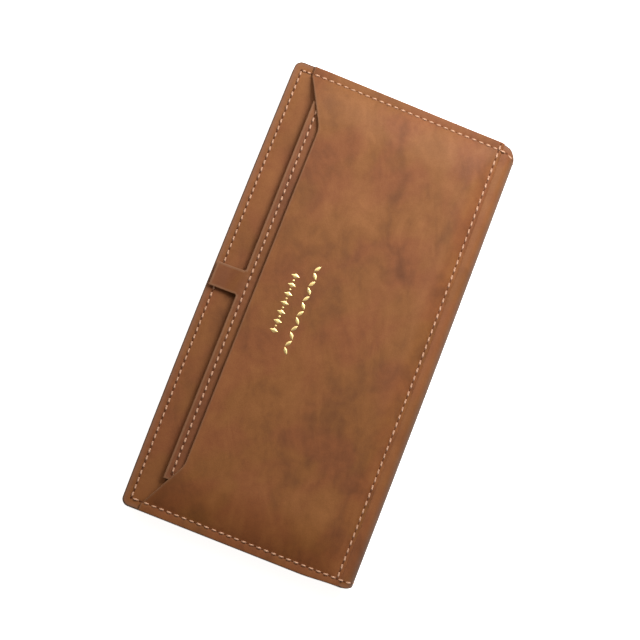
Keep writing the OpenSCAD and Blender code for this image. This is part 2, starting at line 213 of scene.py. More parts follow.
@dataclass
class Sheet:
    """A ply of leather or cloth: a middle surface on a grid, thickened both ways.

    The half thickness grows from nothing at the cut edge as (1 - (1 - d)^p)^(1 / p), where d is the
    distance from the edge over the rounding length, so the edge is round and the shell is closed.
    """

    name: str
    middle: FloatArray
    inset: FloatArray
    thickness: float
    flat: FloatArray | None = None
    rounding: float = 0.4 * MM
    squareness: float = 2.6
    cells: FloatArray | None = None
    open_row: int | None = None
    bare: FloatArray | None = None

    def build(self) -> bpy.types.Object:
        """Makes the closed shell, with its flat map and its distance from the edge."""
        rows, columns = self.inset.shape
        cells = np.ones((rows - 1, columns - 1), bool) if self.cells is None else self.cells
        framed = np.pad(cells, 1).astype(int)
        around = framed[:-1, :-1] + framed[1:, :-1] + framed[:-1, 1:] + framed[1:, 1:]
        used, rim = around > 0, (around > 0) & (around < 4)
        if self.open_row is not None:
            rim[self.open_row, 1:-1] = False
        inset = np.where(rim, 0.0, np.maximum(self.inset, 0.0))
        shrink = 1.0 - np.clip(inset / self.rounding, 0.0, 1.0)
        half = self.thickness / 2 * (1.0 - shrink**self.squareness) ** (1.0 / self.squareness)
        lift = surface_normals(self.middle) * half[..., None]
        lower = used & ~rim
        top = np.cumsum(used.ravel()).reshape(used.shape) - 1
        below = np.where(rim, top, used.sum() + np.cumsum(lower.ravel()).reshape(used.shape) - 1)
        flat = self.middle[..., :2] if self.flat is None else self.flat
        vertices = np.concatenate([(self.middle + lift)[used], (self.middle - lift)[lower]])
        faces = [*self._skins(top, below, cells), *self._wall(top, below)]
        piece = mesh_object(self.name, vertices, self._by_corners(faces))
        flat_map(piece, np.concatenate([flat[used], flat[lower]]))
        bare = inset if self.bare is None else np.maximum(self.bare, 0.0)
        point_value(piece, "edge_mm", np.minimum(np.concatenate([bare[used], bare[lower]]) / MM, 9.0))
        point_value(piece, "grain_side", np.concatenate([np.ones(used.sum()), np.zeros(lower.sum())]))
        return piece

    @staticmethod
    def _by_corners(faces: Sequence[FloatArray]) -> list[FloatArray]:
        """Joins the face arrays that have the same number of corners."""
        sizes = sorted({f.shape[1] for f in faces})
        return [np.concatenate([f for f in faces if f.shape[1] == n]) for n in sizes]

    @staticmethod
    def _skins(top: FloatArray, below: FloatArray, cells: FloatArray) -> list[FloatArray]:
        """The quads of the upper skin, and of the lower one in the other order.

        Args:
            top: The upper skin's vertex index at each grid point.
            below: The lower skin's.
            cells: Which cells are used.

        Returns:
            Two arrays of quads.
        """
        def quads(index: FloatArray) -> FloatArray:
            """The corners of every used cell, from one index for each grid point."""
            corners = [index[:-1, :-1], index[:-1, 1:], index[1:, 1:], index[1:, :-1]]
            return np.stack([c[cells] for c in corners], axis=1)

        return [quads(top), quads(below)[:, ::-1]]

    def _wall(self, top: FloatArray, below: FloatArray) -> list[FloatArray]:
        """The wall that closes a square cut end, with a triangle at each of its ends.

        Args:
            top: The upper skin's vertex index at each grid point.
            below: The lower skin's.

        Returns:
            The quads and the triangles, or nothing where no row is open.
        """
        if self.open_row is None:
            return []
        upper, lower = top[self.open_row], below[self.open_row]
        quads = np.stack([lower[1:-2], lower[2:-1], upper[2:-1], upper[1:-2]], axis=1)
        ends = np.array([[upper[0], lower[1], upper[1]], [upper[-1], upper[-2], lower[-2]]])
        if self.open_row != 0:
            quads, ends = quads[:, ::-1], ends[:, ::-1]
        return [quads, ends]


@dataclass(frozen=True)
class Box:
    """A CAD node's box at rest, in metres."""

    x0: float
    x1: float
    y0: float
    y1: float
    z0: float
    z1: float

    @classmethod
    def of(cls, node: str) -> Box:
        """Reads the box of one CAD node from the frame."""
        low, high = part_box(node)
        return cls(low.x, high.x, low.y, high.y, low.z, high.z)

    @property
    def centre(self) -> tuple[float, float, float]:
        """The middle of the box."""
        return (self.x0 + self.x1) / 2, (self.y0 + self.y1) / 2, (self.z0 + self.z1) / 2

    @property
    def thickness(self) -> float:
        """The box's height, which is a flat ply's thickness."""
        return self.z1 - self.z0


def flat_ply(
    name: str,
    box: Box,
    radius: float,
    step: float,
    height: Height | None = None,
    window: Box | None = None,
) -> bpy.types.Object:
    """A rectangular ply with round corners that fills a CAD node's box.

    The grid's columns are drawn in at the corners, x = u (half length - r + sqrt(r^2 - d^2)), and
    height(x, y) lifts or lowers the middle surface.

    Args:
        name: The piece's name.
        box: The space it fills.
        radius: The corners' radius.
        step: The grid's spacing.
        height: What is added to the middle surface, in metres.
        window: A rectangle left out of the ply, which may run past its +X edge.

    Returns:
        The new piece.
    """
    cx, cy, cz = box.centre
    half_x, half_y = (box.x1 - box.x0) / 2, (box.y1 - box.y0) / 2
    u, v = graded(-half_x, half_x, step), graded(-half_y, half_y, step)
    if window is not None:
        u = np.unique(np.concatenate([u[(u < window.x0 - cx) | (u > window.x1 - cx)],
                                      graded(window.x0 - cx, min(window.x1 - cx, half_x), step)]))
        v = np.unique(np.concatenate([v[(v < window.y0 - cy) | (v > window.y1 - cy)],
                                      graded(window.y0 - cy, window.y1 - cy, step)]))
    grid_u, y = np.meshgrid(u, v)
    x = grid_u * (1.0 - corner_cut(y, half_y, radius) / half_x)
    inset = rounded_inset(x, y, half_x, half_y, radius)
    x, y = x + cx, y + cy
    cells = None
    if window is not None:
        mid_x, mid_y = (x[1:, 1:] + x[:-1, :-1]) / 2, (y[1:, 1:] + y[:-1, :-1]) / 2
        cells = ~((mid_x > window.x0) & (mid_x < window.x1) & (mid_y > window.y0) & (mid_y < window.y1))
        beyond = np.maximum.reduce([window.x0 - x, x - window.x1, window.y0 - y, y - window.y1])
        inset = np.where(beyond >= -1e-9, np.minimum(inset, beyond), inset)
    z = np.full_like(x, cz) if height is None else cz + height(x, y)
    return Sheet(name, np.stack([x, y, z], axis=2), inset, box.thickness, cells=cells).build()


@dataclass(frozen=True)
class Pips:
    """Small closed pads, all of one outline, such as foil marks, the painted shade of needle holes, and zip
    teeth.

    Each has a lower ring on the surface, an upper ring drawn in by the bevel, and a centre point
    above and below, so it is closed with three faces for each point of its outline.
    """

    outline: FloatArray
    height: float
    bevel: float

    def build(self, name: str, origin: FloatArray, along: FloatArray, normal: FloatArray) -> bpy.types.Object:
        """Puts one pad at each origin.

        Args:
            name: The object's name.
            origin: (n, 3) places on the surface.
            along: (n, 3) unit directions of the outline's first axis.
            normal: (n, 3) unit normals of the surface.

        Returns:
            One object that holds all the pads.
        """
        across = np.cross(normal, along)
        count, sides = len(origin), len(self.outline)
        ring = self.outline[None, :, :1] * along[:, None] + self.outline[None, :, 1:] * across[:, None]
        reach = np.linalg.norm(self.outline, axis=1)
        drawn_in = (1.0 - self.bevel / np.maximum(reach, self.bevel * 1.01))[None, :, None]
        lower = origin[:, None] + ring
        upper = origin[:, None] + ring * drawn_in + normal[:, None] * self.height
        centres = np.stack([origin + normal * self.height, origin], axis=1)
        vertices = np.concatenate([lower, upper, centres], axis=1).reshape(-1, 3)
        i = np.arange(sides)
        j = (i + 1) % sides
        walls = np.stack([i, j, sides + j, sides + i], axis=1)
        lid = np.stack([sides + i, sides + j, np.full(sides, 2 * sides)], axis=1)
        base = np.stack([j, i, np.full(sides, 2 * sides + 1)], axis=1)
        shift = (np.arange(count) * (2 * sides + 2))[:, None, None]
        quads = (walls[None] + shift).reshape(-1, 4)
        triangles = (np.concatenate([lid, base])[None] + shift).reshape(-1, 3)
        return mesh_object(name, vertices, [triangles, quads], crease_deg=40.0)


def leaf_outline(length: float, width: float, points: int, fullness: float) -> FloatArray:
    """An outline with two pointed ends: y = width / 2 (1 - |x|^fullness), up one side and back.

    Args:
        length: From point to point.
        width: The widest place.
        points: How many points it has.
        fullness: The power, 1 for a lozenge.

    Returns:
        (points, 2) places about 0, 0.
    """
    angle = np.arange(points) * 2 * math.pi / points
    x = np.cos(angle)
    y = np.sign(np.sin(angle)) * (1.0 - np.abs(x) ** fullness)
    return np.stack([x * length / 2, y * width / 2], axis=1)


def round_outline(length: float, width: float, points: int, power: float = 2.0) -> FloatArray:
    """An oval, or with a power above 2 a rectangle with soft corners.

    Args:
        length: Along its first axis.
        width: Along its second axis.
        points: How many points it has.
        power: 2 for an oval, more for squarer.

    Returns:
        (points, 2) places about 0, 0.
    """
    angle = (np.arange(points) + 0.5) * 2 * math.pi / points
    c, s = np.cos(angle), np.sin(angle)
    reach = (np.abs(c) ** power + np.abs(s) ** power) ** (-1.0 / power)
    return np.stack([c * reach * length / 2, s * reach * width / 2], axis=1)


# ---------------------------------------------------------------------------------------------
# Finishes
# ---------------------------------------------------------------------------------------------


@dataclass(frozen=True)
class Value:
    """A number that a node gives, with Python's operators adding Math nodes."""

    shader: Shader
    socket: bpy.types.NodeSocket

    def _math(self, operation: str, *values: Value | float) -> Value:
        """Adds one Math node."""
        made = self.shader.node("ShaderNodeMath", {"operation": operation}, dict(enumerate(values)))
        return Value(self.shader, made.outputs[0])

    def __add__(self, other: Value | float) -> Value:
        """self + other."""
        return self._math("ADD", self, other)

    def __sub__(self, other: Value | float) -> Value:
        """self - other."""
        return self._math("SUBTRACT", self, other)

    def __rsub__(self, other: float) -> Value:
        """other - self."""
        return self._math("SUBTRACT", other, self)

    def __mul__(self, other: Value | float) -> Value:
        """self * other."""
        return self._math("MULTIPLY", self, other)

    def __pow__(self, other: float) -> Value:
        """self to a power."""
        return self._math("POWER", self, other)

    __radd__ = __add__
    __rmul__ = __mul__

    def clamped(self) -> Value:
        """The value held between 0 and 1."""
        return self._math("MINIMUM", self._math("MAXIMUM", self, 0.0), 1.0)

    def sine(self) -> Value:
        """The sine of the value."""
        return self._math("SINE", self)

    def step(self, low: float, high: float) -> Value:
        """A soft step from 0 at low to 1 at high, or falling if high is below low.

        Args:
            low: Where the step starts.
            high: Where it ends.

        Returns:
            The step's value.
        """
        ends = {"From Min": min(low, high), "From Max": max(low, high), "To Min": 0.0, "To Max": 1.0}
        if high < low:
            ends.update({"To Min": 1.0, "To Max": 0.0})
        made = self.shader.node(
            "ShaderNodeMapRange", {"interpolation_type": "SMOOTHSTEP"}, {"Value": self, **ends})
        return Value(self.shader, made.outputs[0])


class Coordinates(Enum):
    """Where a finish reads its place on a piece from."""

    FLAT = "flat"
    OBJECT = "object"


class Shader:
    """One material's node tree, and short ways of adding nodes to it."""

    def __init__(self, name: str, coordinates: Coordinates, shift: Sequence[float] = (0.0, 0.0, 0.0)) -> None:
        """Starts a material with a Principled shader and a place on the surface, in millimetres.

        Args:
            name: The material's name.
            coordinates: Where the place is read from.
            shift: What is added to the place, in millimetres, so that two pieces differ.
        """
        self.material = bpy.data.materials.new(name)
        self.material.use_nodes = True
        self.tree = self.material.node_tree
        self.tree.nodes.clear()
        self.output = self.node("ShaderNodeOutputMaterial")
        self.surface = self.node("ShaderNodeBsdfPrincipled")
        self.tree.links.new(self.surface.outputs[0], self.output.inputs["Surface"])
        if coordinates is Coordinates.FLAT:
            source = self.node("ShaderNodeUVMap", {"uv_map": "flat"}).outputs[0]
        else:
            source = self.node("ShaderNodeTexCoord").outputs["Object"]
        scale = (1.0 / MM,) * 3
        self.place = self.node(
            "ShaderNodeMapping", {"vector_type": "POINT"},
            {"Vector": source, "Location": tuple(shift), "Scale": scale}).outputs[0]

    def node(self, kind: str, settings: dict | None = None, inputs: dict | None = None) -> bpy.types.Node:
        """Adds a node.

        Args:
            kind: The node's type.
            settings: Its own settings, which are made first.
            inputs: A value, a Value or a socket for each input, by name or number.

        Returns:
            The new node.
        """
        made = self.tree.nodes.new(kind)
        for key, value in (settings or {}).items():
            setattr(made, key, value)
        for key, value in (inputs or {}).items():
            if isinstance(value, Value):
                value = value.socket
            if isinstance(value, bpy.types.NodeSocket):
                self.tree.links.new(value, made.inputs[key])
            else:
                made.inputs[key].default_value = value
        return made

    def attribute(self, name: str) -> Value:
        """One number stored on the piece's vertices."""
        return Value(self, self.node("ShaderNodeAttribute", {"attribute_name": name}).outputs["Fac"])

    def axes(self) -> tuple[Value, Value, Value]:
        """The place's three coordinates, in millimetres."""
        made = self.node("ShaderNodeSeparateXYZ", inputs={0: self.place})
        return Value(self, made.outputs[0]), Value(self, made.outputs[1]), Value(self, made.outputs[2])

    def stretched(self, length: Sequence[float], turn_deg: float = 0.0) -> bpy.types.NodeSocket:
        """The place turned about Z and divided by a length along each axis.

        Args:
            length: The pattern's size along each axis, in millimetres.
            turn_deg: The turn, in degrees.

        Returns:
            The socket that gives it.
        """
        return self.node("ShaderNodeMapping", {"vector_type": "TEXTURE"}, {
            "Vector": self.place, "Rotation": (0.0, 0.0, math.radians(turn_deg)),
            "Scale": tuple(length)}).outputs[0]

    def noise(
        self, size: float | Sequence[float], detail: float = 2.0, roughness: float = 0.5,
        distortion: float = 0.0, turn_deg: float = 0.0,
    ) -> Value:
        """Cloudy noise about 0.5.

        Args:
            size: The clouds' size in millimetres, or one size for each axis.
            detail: How many finer layers it has.
            roughness: How strong the finer layers are.
            distortion: How much it swirls.
            turn_deg: The turn of a stretched noise, in degrees.

        Returns:
            The noise's value.
        """
        sizes = (size,) * 3 if isinstance(size, (int, float)) else tuple(size)
        made = self.node("ShaderNodeTexNoise", {"noise_dimensions": "3D"}, {
            "Vector": self.stretched(sizes, turn_deg), "Scale": 1.0, "Detail": detail,
            "Roughness": roughness, "Distortion": distortion})
        return Value(self, made.outputs["Fac"])

    def oval(self, place: bpy.types.NodeSocket, patch: Patch) -> Value:
        """How far a place lies from a patch's middle, with 1 on the patch's outline.

        Args:
            place: The place, in millimetres, moved by a wander from 0 to WANDER_MM.
            patch: The patch.

        Returns:
            The distance as a share of the patch's half length and half width.
        """
        inside = self.node("ShaderNodeMapping", {"vector_type": "TEXTURE"}, {
            "Vector": place, "Location": (patch.x + WANDER_MM / 2, patch.y + WANDER_MM / 2, 0.0),
            "Rotation": (0.0, 0.0, math.radians(patch.turn_deg)),
            "Scale": (patch.length / 2, patch.width / 2, 1e6)})
        reach = self.node("ShaderNodeVectorMath", {"operation": "LENGTH"}, {0: inside.outputs[0]})
        return Value(self, reach.outputs["Value"])

    def cells(self, size: float) -> Value:
        """The distance to the nearest of scattered points about size millimetres apart."""
        made = self.node("ShaderNodeTexVoronoi", {"feature": "F1"}, {
            "Vector": self.stretched((size,) * 3), "Scale": 1.0})
        return Value(self, made.outputs["Distance"])

    def blend(self, a: Colour | bpy.types.NodeSocket, b: Colour | bpy.types.NodeSocket,
              factor: Value | float) -> bpy.types.NodeSocket:
        """A colour between a and b.

        Args:
            a: The colour at factor 0.
            b: The colour at factor 1.
            factor: How much of b shows.

        Returns:
            The socket that gives the colour.
        """
        def full(c: Colour | bpy.types.NodeSocket) -> tuple | bpy.types.NodeSocket:
            """A colour with its fourth value, or a socket as it is."""
            return c if isinstance(c, bpy.types.NodeSocket) else (*c, 1.0)

        made = self.node("ShaderNodeMix", {"data_type": "RGBA", "blend_type": "MIX", "clamp_factor": True},
                         {0: factor, 6: full(a), 7: full(b)})
        return made.outputs[2]

    def bump(self, height: Value, depth_mm: float, strength: float = 1.0) -> bpy.types.NodeSocket:
        """A normal bent by a height.

        Args:
            height: The height, from 0 to 1.
            depth_mm: What a height of 1 stands for, in millimetres.
            strength: How much of the bend shows.

        Returns:
            The socket that gives the normal.
        """
        inputs = {"Height": height, "Distance": depth_mm * MM, "Strength": strength}
        return self.node("ShaderNodeBump", inputs=inputs).outputs[0]

    def finish(self, **inputs: object) -> bpy.types.Material:
        """Sets the Principled shader's inputs, with _ for a space in their names.

        Args:
            **inputs: Numbers, colours, Values or sockets.

        Returns:
            The finished material.
        """
        for key, value in inputs.items():
            name = key.replace("_", " ")
            if isinstance(value, Value):
                value = value.socket
            if isinstance(value, bpy.types.NodeSocket):
                self.tree.links.new(value, self.surface.inputs[name])
            else:
                if isinstance(value, tuple) and len(value) == 3:
                    value = (*value, 1.0)
                self.surface.inputs[name].default_value = value
        return self.material


def srgb(red: int, green: int, blue: int) -> Colour:
    """A colour given as 0 to 255 on a screen, as the linear values that a shader takes."""
    def linear(x: float) -> float:
        """The screen's curve undone for one channel, from 0 to 1."""
        return x / 12.92 if x <= 0.04045 else ((x + 0.055) / 1.055) ** 2.4

    return linear(red / 255), linear(green / 255), linear(blue / 255)


@dataclass(frozen=True)
class Patch:
    """A soft oval on the leather that is lighter or darker than the rest, in millimetres."""

    x: float
    y: float
    length: float
    width: float
    turn_deg: float
    tone: float


@dataclass(frozen=True)
class OiledLeather:
    """Waxy pull-up leather: cloudy light and dark patches, fine grain, a cut edge of its own colour, and
    painted shade in the rim colour on the outermost edge and along the fold.
    """

    name: str
    base: Colour = srgb(125, 76, 31)
    ruddy: Colour = srgb(125, 71, 33)
    dark: Colour = srgb(84, 45, 16)
    light: Colour = srgb(146, 93, 46)
    edge: Colour = srgb(112, 78, 54)
    edge_width: float = 0.9
    # rim: the colour of painted shade, on the outermost edge and along the fold's turn.
    rim: Colour = srgb(74, 56, 40)
    rim_shade_width: float = 0.0
    fold_shade: float = 0.0
    flesh: Colour = srgb(92, 58, 34)
    shift: tuple[float, float, float] = (0.0, 0.0, 0.0)
    patches: tuple[Patch, ...] = ()
    cloudiness: float = 0.85

    def _tone(self, shader: Shader) -> Value:
        """How light the leather is, about 0: big clouds, slanting streaks, mottling and patches.

        Args:
            shader: The material's node tree.

        Returns:
            The tone, about 0.
        """
        clouds = shader.noise(30.0, 3.0, 0.55, 0.5) - 0.5
        streaks = shader.noise((26.0, 12.0, 30.0), 3.0, 0.58, 1.4, turn_deg=18.0) - 0.5
        mottle = shader.noise(6.0, 3.0, 0.6, 0.4) - 0.5
        tone = (clouds * 0.75 + streaks * 0.72 + mottle * 0.5) * self.cloudiness
        if not self.patches:
            return tone
        wander = shader.node("ShaderNodeTexNoise", inputs={
            "Vector": shader.stretched((WANDER_MM,) * 3), "Scale": 1.0, "Detail": 2.0}).outputs["Color"]
        moved = shader.node("ShaderNodeVectorMath", {"operation": "MULTIPLY_ADD"}, {
            0: wander, 1: (WANDER_MM, WANDER_MM, 0.0), 2: shader.place}).outputs[0]
        for patch in self.patches:
            tone = tone + shader.oval(moved, patch).step(1.35, 0.1) * patch.tone
        return tone

    def material(self) -> bpy.types.Material:
        """Builds the material."""
        shader = Shader(self.name, Coordinates.FLAT, self.shift)
        tone = self._tone(shader)
        hue = shader.noise((26.0, 17.0, 20.0), 2.0, 0.5, 0.5, turn_deg=-30.0).step(0.38, 0.62)
        colour = shader.blend(self.base, self.ruddy, hue)
        colour = shader.blend(colour, self.dark, (tone * -2.4).clamped())
        colour = shader.blend(colour, self.light, (tone * 2.2).clamped())
        grain = shader.cells(0.5)
        pores = shader.noise(0.26, 2.0, 0.6)
        creases = shader.noise((3.4, 1.3, 2.0), 3.0, 0.6, 0.6, turn_deg=-20.0)
        speck = (grain.step(0.25, 0.7) * 0.16 + pores.step(0.56, 0.75) * 0.18).clamped()
        colour = shader.blend(colour, shader.blend(colour, self.dark, 0.6), speck)
        edge = shader.attribute("edge_mm")
        worn = edge.step(self.edge_width, self.edge_width * 0.35) * (shader.noise(3.0, 2.0) * 0.6 + 0.5)
        colour = shader.blend(colour, self.edge, worn.clamped() * 0.85)
        # Painted shade on the spine's lower turn, where the fold faces away from the light: the colour runs
        # to the rim colour below fold_shade mm up the flat map.
        if self.fold_shade:
            up = shader.axes()[1] - self.shift[1]
            colour = shader.blend(colour, self.rim, up.step(self.fold_shade, self.fold_shade * 0.2) * 0.8)
        # Painted shade on the outermost strip of a cut edge, where the edge's side turns away from the light.
        if self.rim_shade_width:
            colour = shader.blend(colour, self.rim, edge.step(self.rim_shade_width, self.rim_shade_width * 0.5) * 0.9)
        grain_side = shader.attribute("grain_side")
        under = (1.0 - grain_side) * edge.step(0.05, 0.4)
        colour = shader.blend(colour, self.flesh, under)
        rough = (0.62 - tone * 0.1 + (grain - 0.4) * 0.1 + under * 0.3).clamped()
        relief = grain * 0.45 + pores * 0.35 + creases * 0.9
        normal = shader.bump(relief, 0.06, 0.45)
        return shader.finish(
            Base_Color=colour, Roughness=rough, Normal=normal, Specular_IOR_Level=0.32)


@dataclass(frozen=True)
class Thread:
    """Waxed two-ply thread with its twist."""

    name: str = "waxed_thread"
    colour: Colour = srgb(200, 156, 126)
    shade: Colour = srgb(140, 94, 66)

    def material(self) -> bpy.types.Material:
        """Builds the material: slanting furrows between the plies, and fuzz."""
        shader = Shader(self.name, Coordinates.FLAT)
        u, v, _ = shader.axes()
        twist = ((u * 5.2 + v * 6.283).sine() * 0.5 + 0.5)
        fibre = shader.noise((0.6, 0.08, 0.2), 2.0, 0.6)
        shaded = ((1.0 - twist) ** 2.0 * 0.5 + fibre.step(0.5, 0.8) * 0.25).clamped()
        colour = shader.blend(self.colour, self.shade, shaded)
        return shader.finish(
            Base_Color=colour, Roughness=(0.55 + fibre * 0.2), Normal=shader.bump(twist, 0.09, 0.7),
            Sheen_Weight=0.2, Specular_IOR_Level=0.3)


@dataclass(frozen=True)
class NeedleHoleShade:
    """Painted shade of a needle hole: a dark pad laid on the leather, where no hole is cut."""

    name: str = "needle_hole_shade"
    colour: Colour = srgb(82, 45, 24)
    rim: Colour = srgb(98, 56, 32)

    def material(self) -> bpy.types.Material:
        """Builds the material: dark brown with a little variation."""
        shader = Shader(self.name, Coordinates.OBJECT)
        vary = shader.noise(0.8, 2.0)
        return shader.finish(
            Base_Color=shader.blend(self.colour, self.rim, vary), Roughness=(0.7 + vary * 0.2),
            Normal=shader.bump(vary, 0.05), Specular_IOR_Level=0.15)


@dataclass(frozen=True)
class Cloth:
    """Plain woven textile: threads over and under, with slubs."""

    name: str
    colour: Colour
    shade: Colour
    pitch: float = 0.5
    slant: float = 0.0

    def material(self) -> bpy.types.Material:
        """Builds the material: warp and weft as two sines, in turn above and below each other."""
        shader = Shader(self.name, Coordinates.FLAT)
        x, y, _ = shader.axes()
        turn = 2 * math.pi / self.pitch
        warp = ((x + y * self.slant) * turn).sine()
        weft = ((y - x * self.slant) * turn).sine()
        weave = (warp * weft) * 0.5 + 0.5
        slub = shader.noise((5.0, 0.4, 1.0), 3.0, 0.6)
        dust = shader.noise(14.0, 3.0)
        shaded = ((1.0 - weave) * 0.6 + slub.step(0.42, 0.66) * 0.45 + (dust - 0.4) * 0.6).clamped()
        colour = shader.blend(self.colour, self.shade, shaded)
        normal = shader.bump(weave + slub * 0.6, 0.08, 0.7)
        return shader.finish(
            Base_Color=colour, Roughness=(0.78 + slub * 0.15), Normal=normal,
            Sheen_Weight=0.3, Specular_IOR_Level=0.2)


@dataclass(frozen=True)
class Metal:
    """Polished metal with fine scratches and a dulled film."""

    name: str
    colour: Colour
    tarnish: Colour
    roughness: float = 0.24
    dulling: float = 0.45

    def material(self) -> bpy.types.Material:
        """Builds the material."""
        shader = Shader(self.name, Coordinates.OBJECT)
        film = shader.noise(2.4, 4.0, 0.6, 0.5)
        scratch = shader.noise((3.0, 0.05, 0.4), 2.0, 0.7, turn_deg=14.0)
        worn = film.step(0.42, 0.72)
        colour = shader.blend(self.colour, self.tarnish, worn * self.dulling)
        rough = (self.roughness + worn * 0.22 + scratch.step(0.5, 0.75) * 0.12).clamped()
        return shader.finish(
            Base_Color=colour, Metallic=1.0, Roughness=rough, Normal=shader.bump(scratch, 0.01, 0.5))


@dataclass(frozen=True)
class FibreBoard:
    """Bonded leather board: short pressed fibres."""

    name: str = "fibre_board"
    colour: Colour = srgb(176, 152, 118)
    shade: Colour = srgb(128, 100, 70)

    def material(self) -> bpy.types.Material:
        """Builds the material."""
        shader = Shader(self.name, Coordinates.OBJECT)
        fibres = shader.noise((1.8, 0.25, 0.6), 4.0, 0.7, 1.2)
        flecks = shader.noise(0.7, 3.0, 0.7)
        mixed = (fibres.step(0.4, 0.65) * 0.6 + flecks.step(0.5, 0.7) * 0.4).clamped()
        return shader.finish(
            Base_Color=shader.blend(self.colour, self.shade, mixed), Roughness=(0.8 + flecks * 0.1),
            Normal=shader.bump(fibres + flecks, 0.05, 0.6), Specular_IOR_Level=0.2)


class Finishes:
    """Every finish of the wallet, each made once."""

    def __init__(self) -> None:
        """Makes the materials."""
        burnished = srgb(66, 39, 22)
        self.pocket = OiledLeather(
            "oiled_leather_pocket", patches=POCKET_PATCHES, edge=srgb(122, 84, 56)).material()
        # The cover's one patch lightens the +X end of the margin above the pocket: painted light, brighter
        # towards the side the key light falls on.
        self.cover = OiledLeather(
            "oiled_leather_cover", shift=(310.0, 40.0, 5.0), cloudiness=0.7, base=srgb(126, 76, 34),
            ruddy=srgb(127, 73, 36), edge=srgb(128, 86, 60), edge_width=2.2, rim_shade_width=0.5,
            fold_shade=5.5, patches=(Patch(385.0, 128.0, 100.0, 30.0, 0.0, 0.14),)).material()
        self.back = OiledLeather(
            "oiled_leather_back", shift=(-420.0, 260.0, 9.0), edge=burnished, edge_width=0.45,
            rim_shade_width=0.4).material()
        self.sleeve = OiledLeather(
            "oiled_leather_sleeve", shift=(90.0, 530.0, 2.0), cloudiness=0.5, base=srgb(120, 71, 31),
            ruddy=srgb(117, 67, 34), edge=srgb(130, 92, 64), edge_width=1.2).material()
        self.inner = OiledLeather(
            "inner_leather", shift=(-90.0, -330.0, 3.0), cloudiness=0.6, base=srgb(106, 63, 31),
            ruddy=srgb(100, 57, 31), edge=srgb(128, 88, 60), edge_width=0.8, rim_shade_width=0.35).material()
        self.thread = Thread().material()
        # Painted shade for the needle holes.
        self.hole = NeedleHoleShade().material()
        self.lining = Cloth("woven_lining", srgb(92, 66, 48), srgb(46, 31, 22)).material()
        self.tape = Cloth("zip_tape", srgb(82, 52, 34), srgb(42, 25, 16), slant=0.6).material()
        self.brass = Metal("antique_brass", srgb(214, 178, 112), srgb(120, 88, 46)).material()
        self.foil = Metal("pressed_gold_foil", srgb(236, 212, 148), srgb(190, 154, 88), 0.36, 0.4).material()
        self.board = FibreBoard().material()


# The broad light and dark wisps of the pocket's hide, placed one by one.
POCKET_PATCHES = (
    # This first patch lightens the -X end: painted light over the shade of the pocket's sloping side.
    Patch(-87.0, 2.0, 16.0, 60.0, 0.0, 0.07),
    Patch(-80.0, -37.0, 22.0, 8.0, -30.0, -0.05),
    Patch(-59.0, -11.0, 20.0, 10.0, -20.0, -0.11),
    Patch(-47.0, -31.0, 20.0, 10.0, 25.0, -0.14),
    Patch(-20.0, -19.0, 14.0, 18.0, 20.0, -0.13),
    Patch(-52.0, 8.0, 34.0, 14.0, -10.0, -0.1),
    Patch(7.0, -4.0, 12.0, 8.0, 0.0, -0.11),
    Patch(42.0, -9.0, 14.0, 7.0, 0.0, -0.19),
    Patch(59.0, -10.0, 30.0, 6.0, -6.0, -0.19),
    Patch(81.0, -3.0, 24.0, 6.0, 22.0, -0.18),
    Patch(34.0, -18.0, 18.0, 6.0, 30.0, -0.15),
    Patch(48.0, -31.5, 20.0, 4.0, -6.0, -0.13),
    Patch(2.0, -40.0, 14.0, 5.0, 0.0, -0.14),
    Patch(80.0, -32.0, 24.0, 12.0, 0.0, -0.12),
    Patch(42.0, -25.0, 22.0, 9.0, 5.0, 0.12),
    Patch(80.0, 14.0, 28.0, 26.0, 0.0, 0.1),
    Patch(-74.0, -27.0, 24.0, 13.0, -10.0, 0.2),
    Patch(42.0, 2.0, 22.0, 8.0, 5.0, 0.12),
    Patch(-14.0, 2.0, 16.0, 18.0, 0.0, 0.07),
    Patch(18.0, 8.0, 30.0, 14.0, 10.0, 0.05),
)


# ---------------------------------------------------------------------------------------------
# Stitching
# ---------------------------------------------------------------------------------------------


@dataclass(frozen=True)
class Run:
    """A row of needle holes on a surface, with the surface's unit normal at each."""

    holes: FloatArray
    normals: FloatArray

    @classmethod
    def over(cls, face: Height, start: tuple[float, float], end: tuple[float, float], pitch: float) -> Run:
        """A straight run over the face z = face(x, y), with whole stitches spread evenly.

        Args:
            face: The height of the leather's face.
            start: The first hole, as x and y.
            end: The last hole, as x and y.
            pitch: The wanted distance between holes.

        Returns:
            The run.
        """
        count = round(math.dist(start, end) / pitch) + 1
        return cls.through(face, np.linspace(start[0], end[0], count), np.linspace(start[1], end[1], count))

    @classmethod
    def through(cls, face: Height, x: FloatArray, y: FloatArray) -> Run:
        """A run through given places on the face z = face(x, y).

        Args:
            face: The height of the leather's face.
            x: The holes' places along X.
            y: The holes' places along Y.

        Returns:
            The run.
        """
        reach = 0.6 * MM
        slope_x = (face(x + reach, y) - face(x - reach, y)) / (2 * reach)
        slope_y = (face(x, y + reach) - face(x, y - reach)) / (2 * reach)
        normals = np.stack([-slope_x, -slope_y, np.ones_like(x)], axis=1)
        normals /= np.linalg.norm(normals, axis=1, keepdims=True)
        return cls(np.stack([x, y, face(x, y)], axis=1), normals)

    def turned_over(self) -> Run:
        """The same holes seen from the other side of the ply."""
        return Run(self.holes, -self.normals)


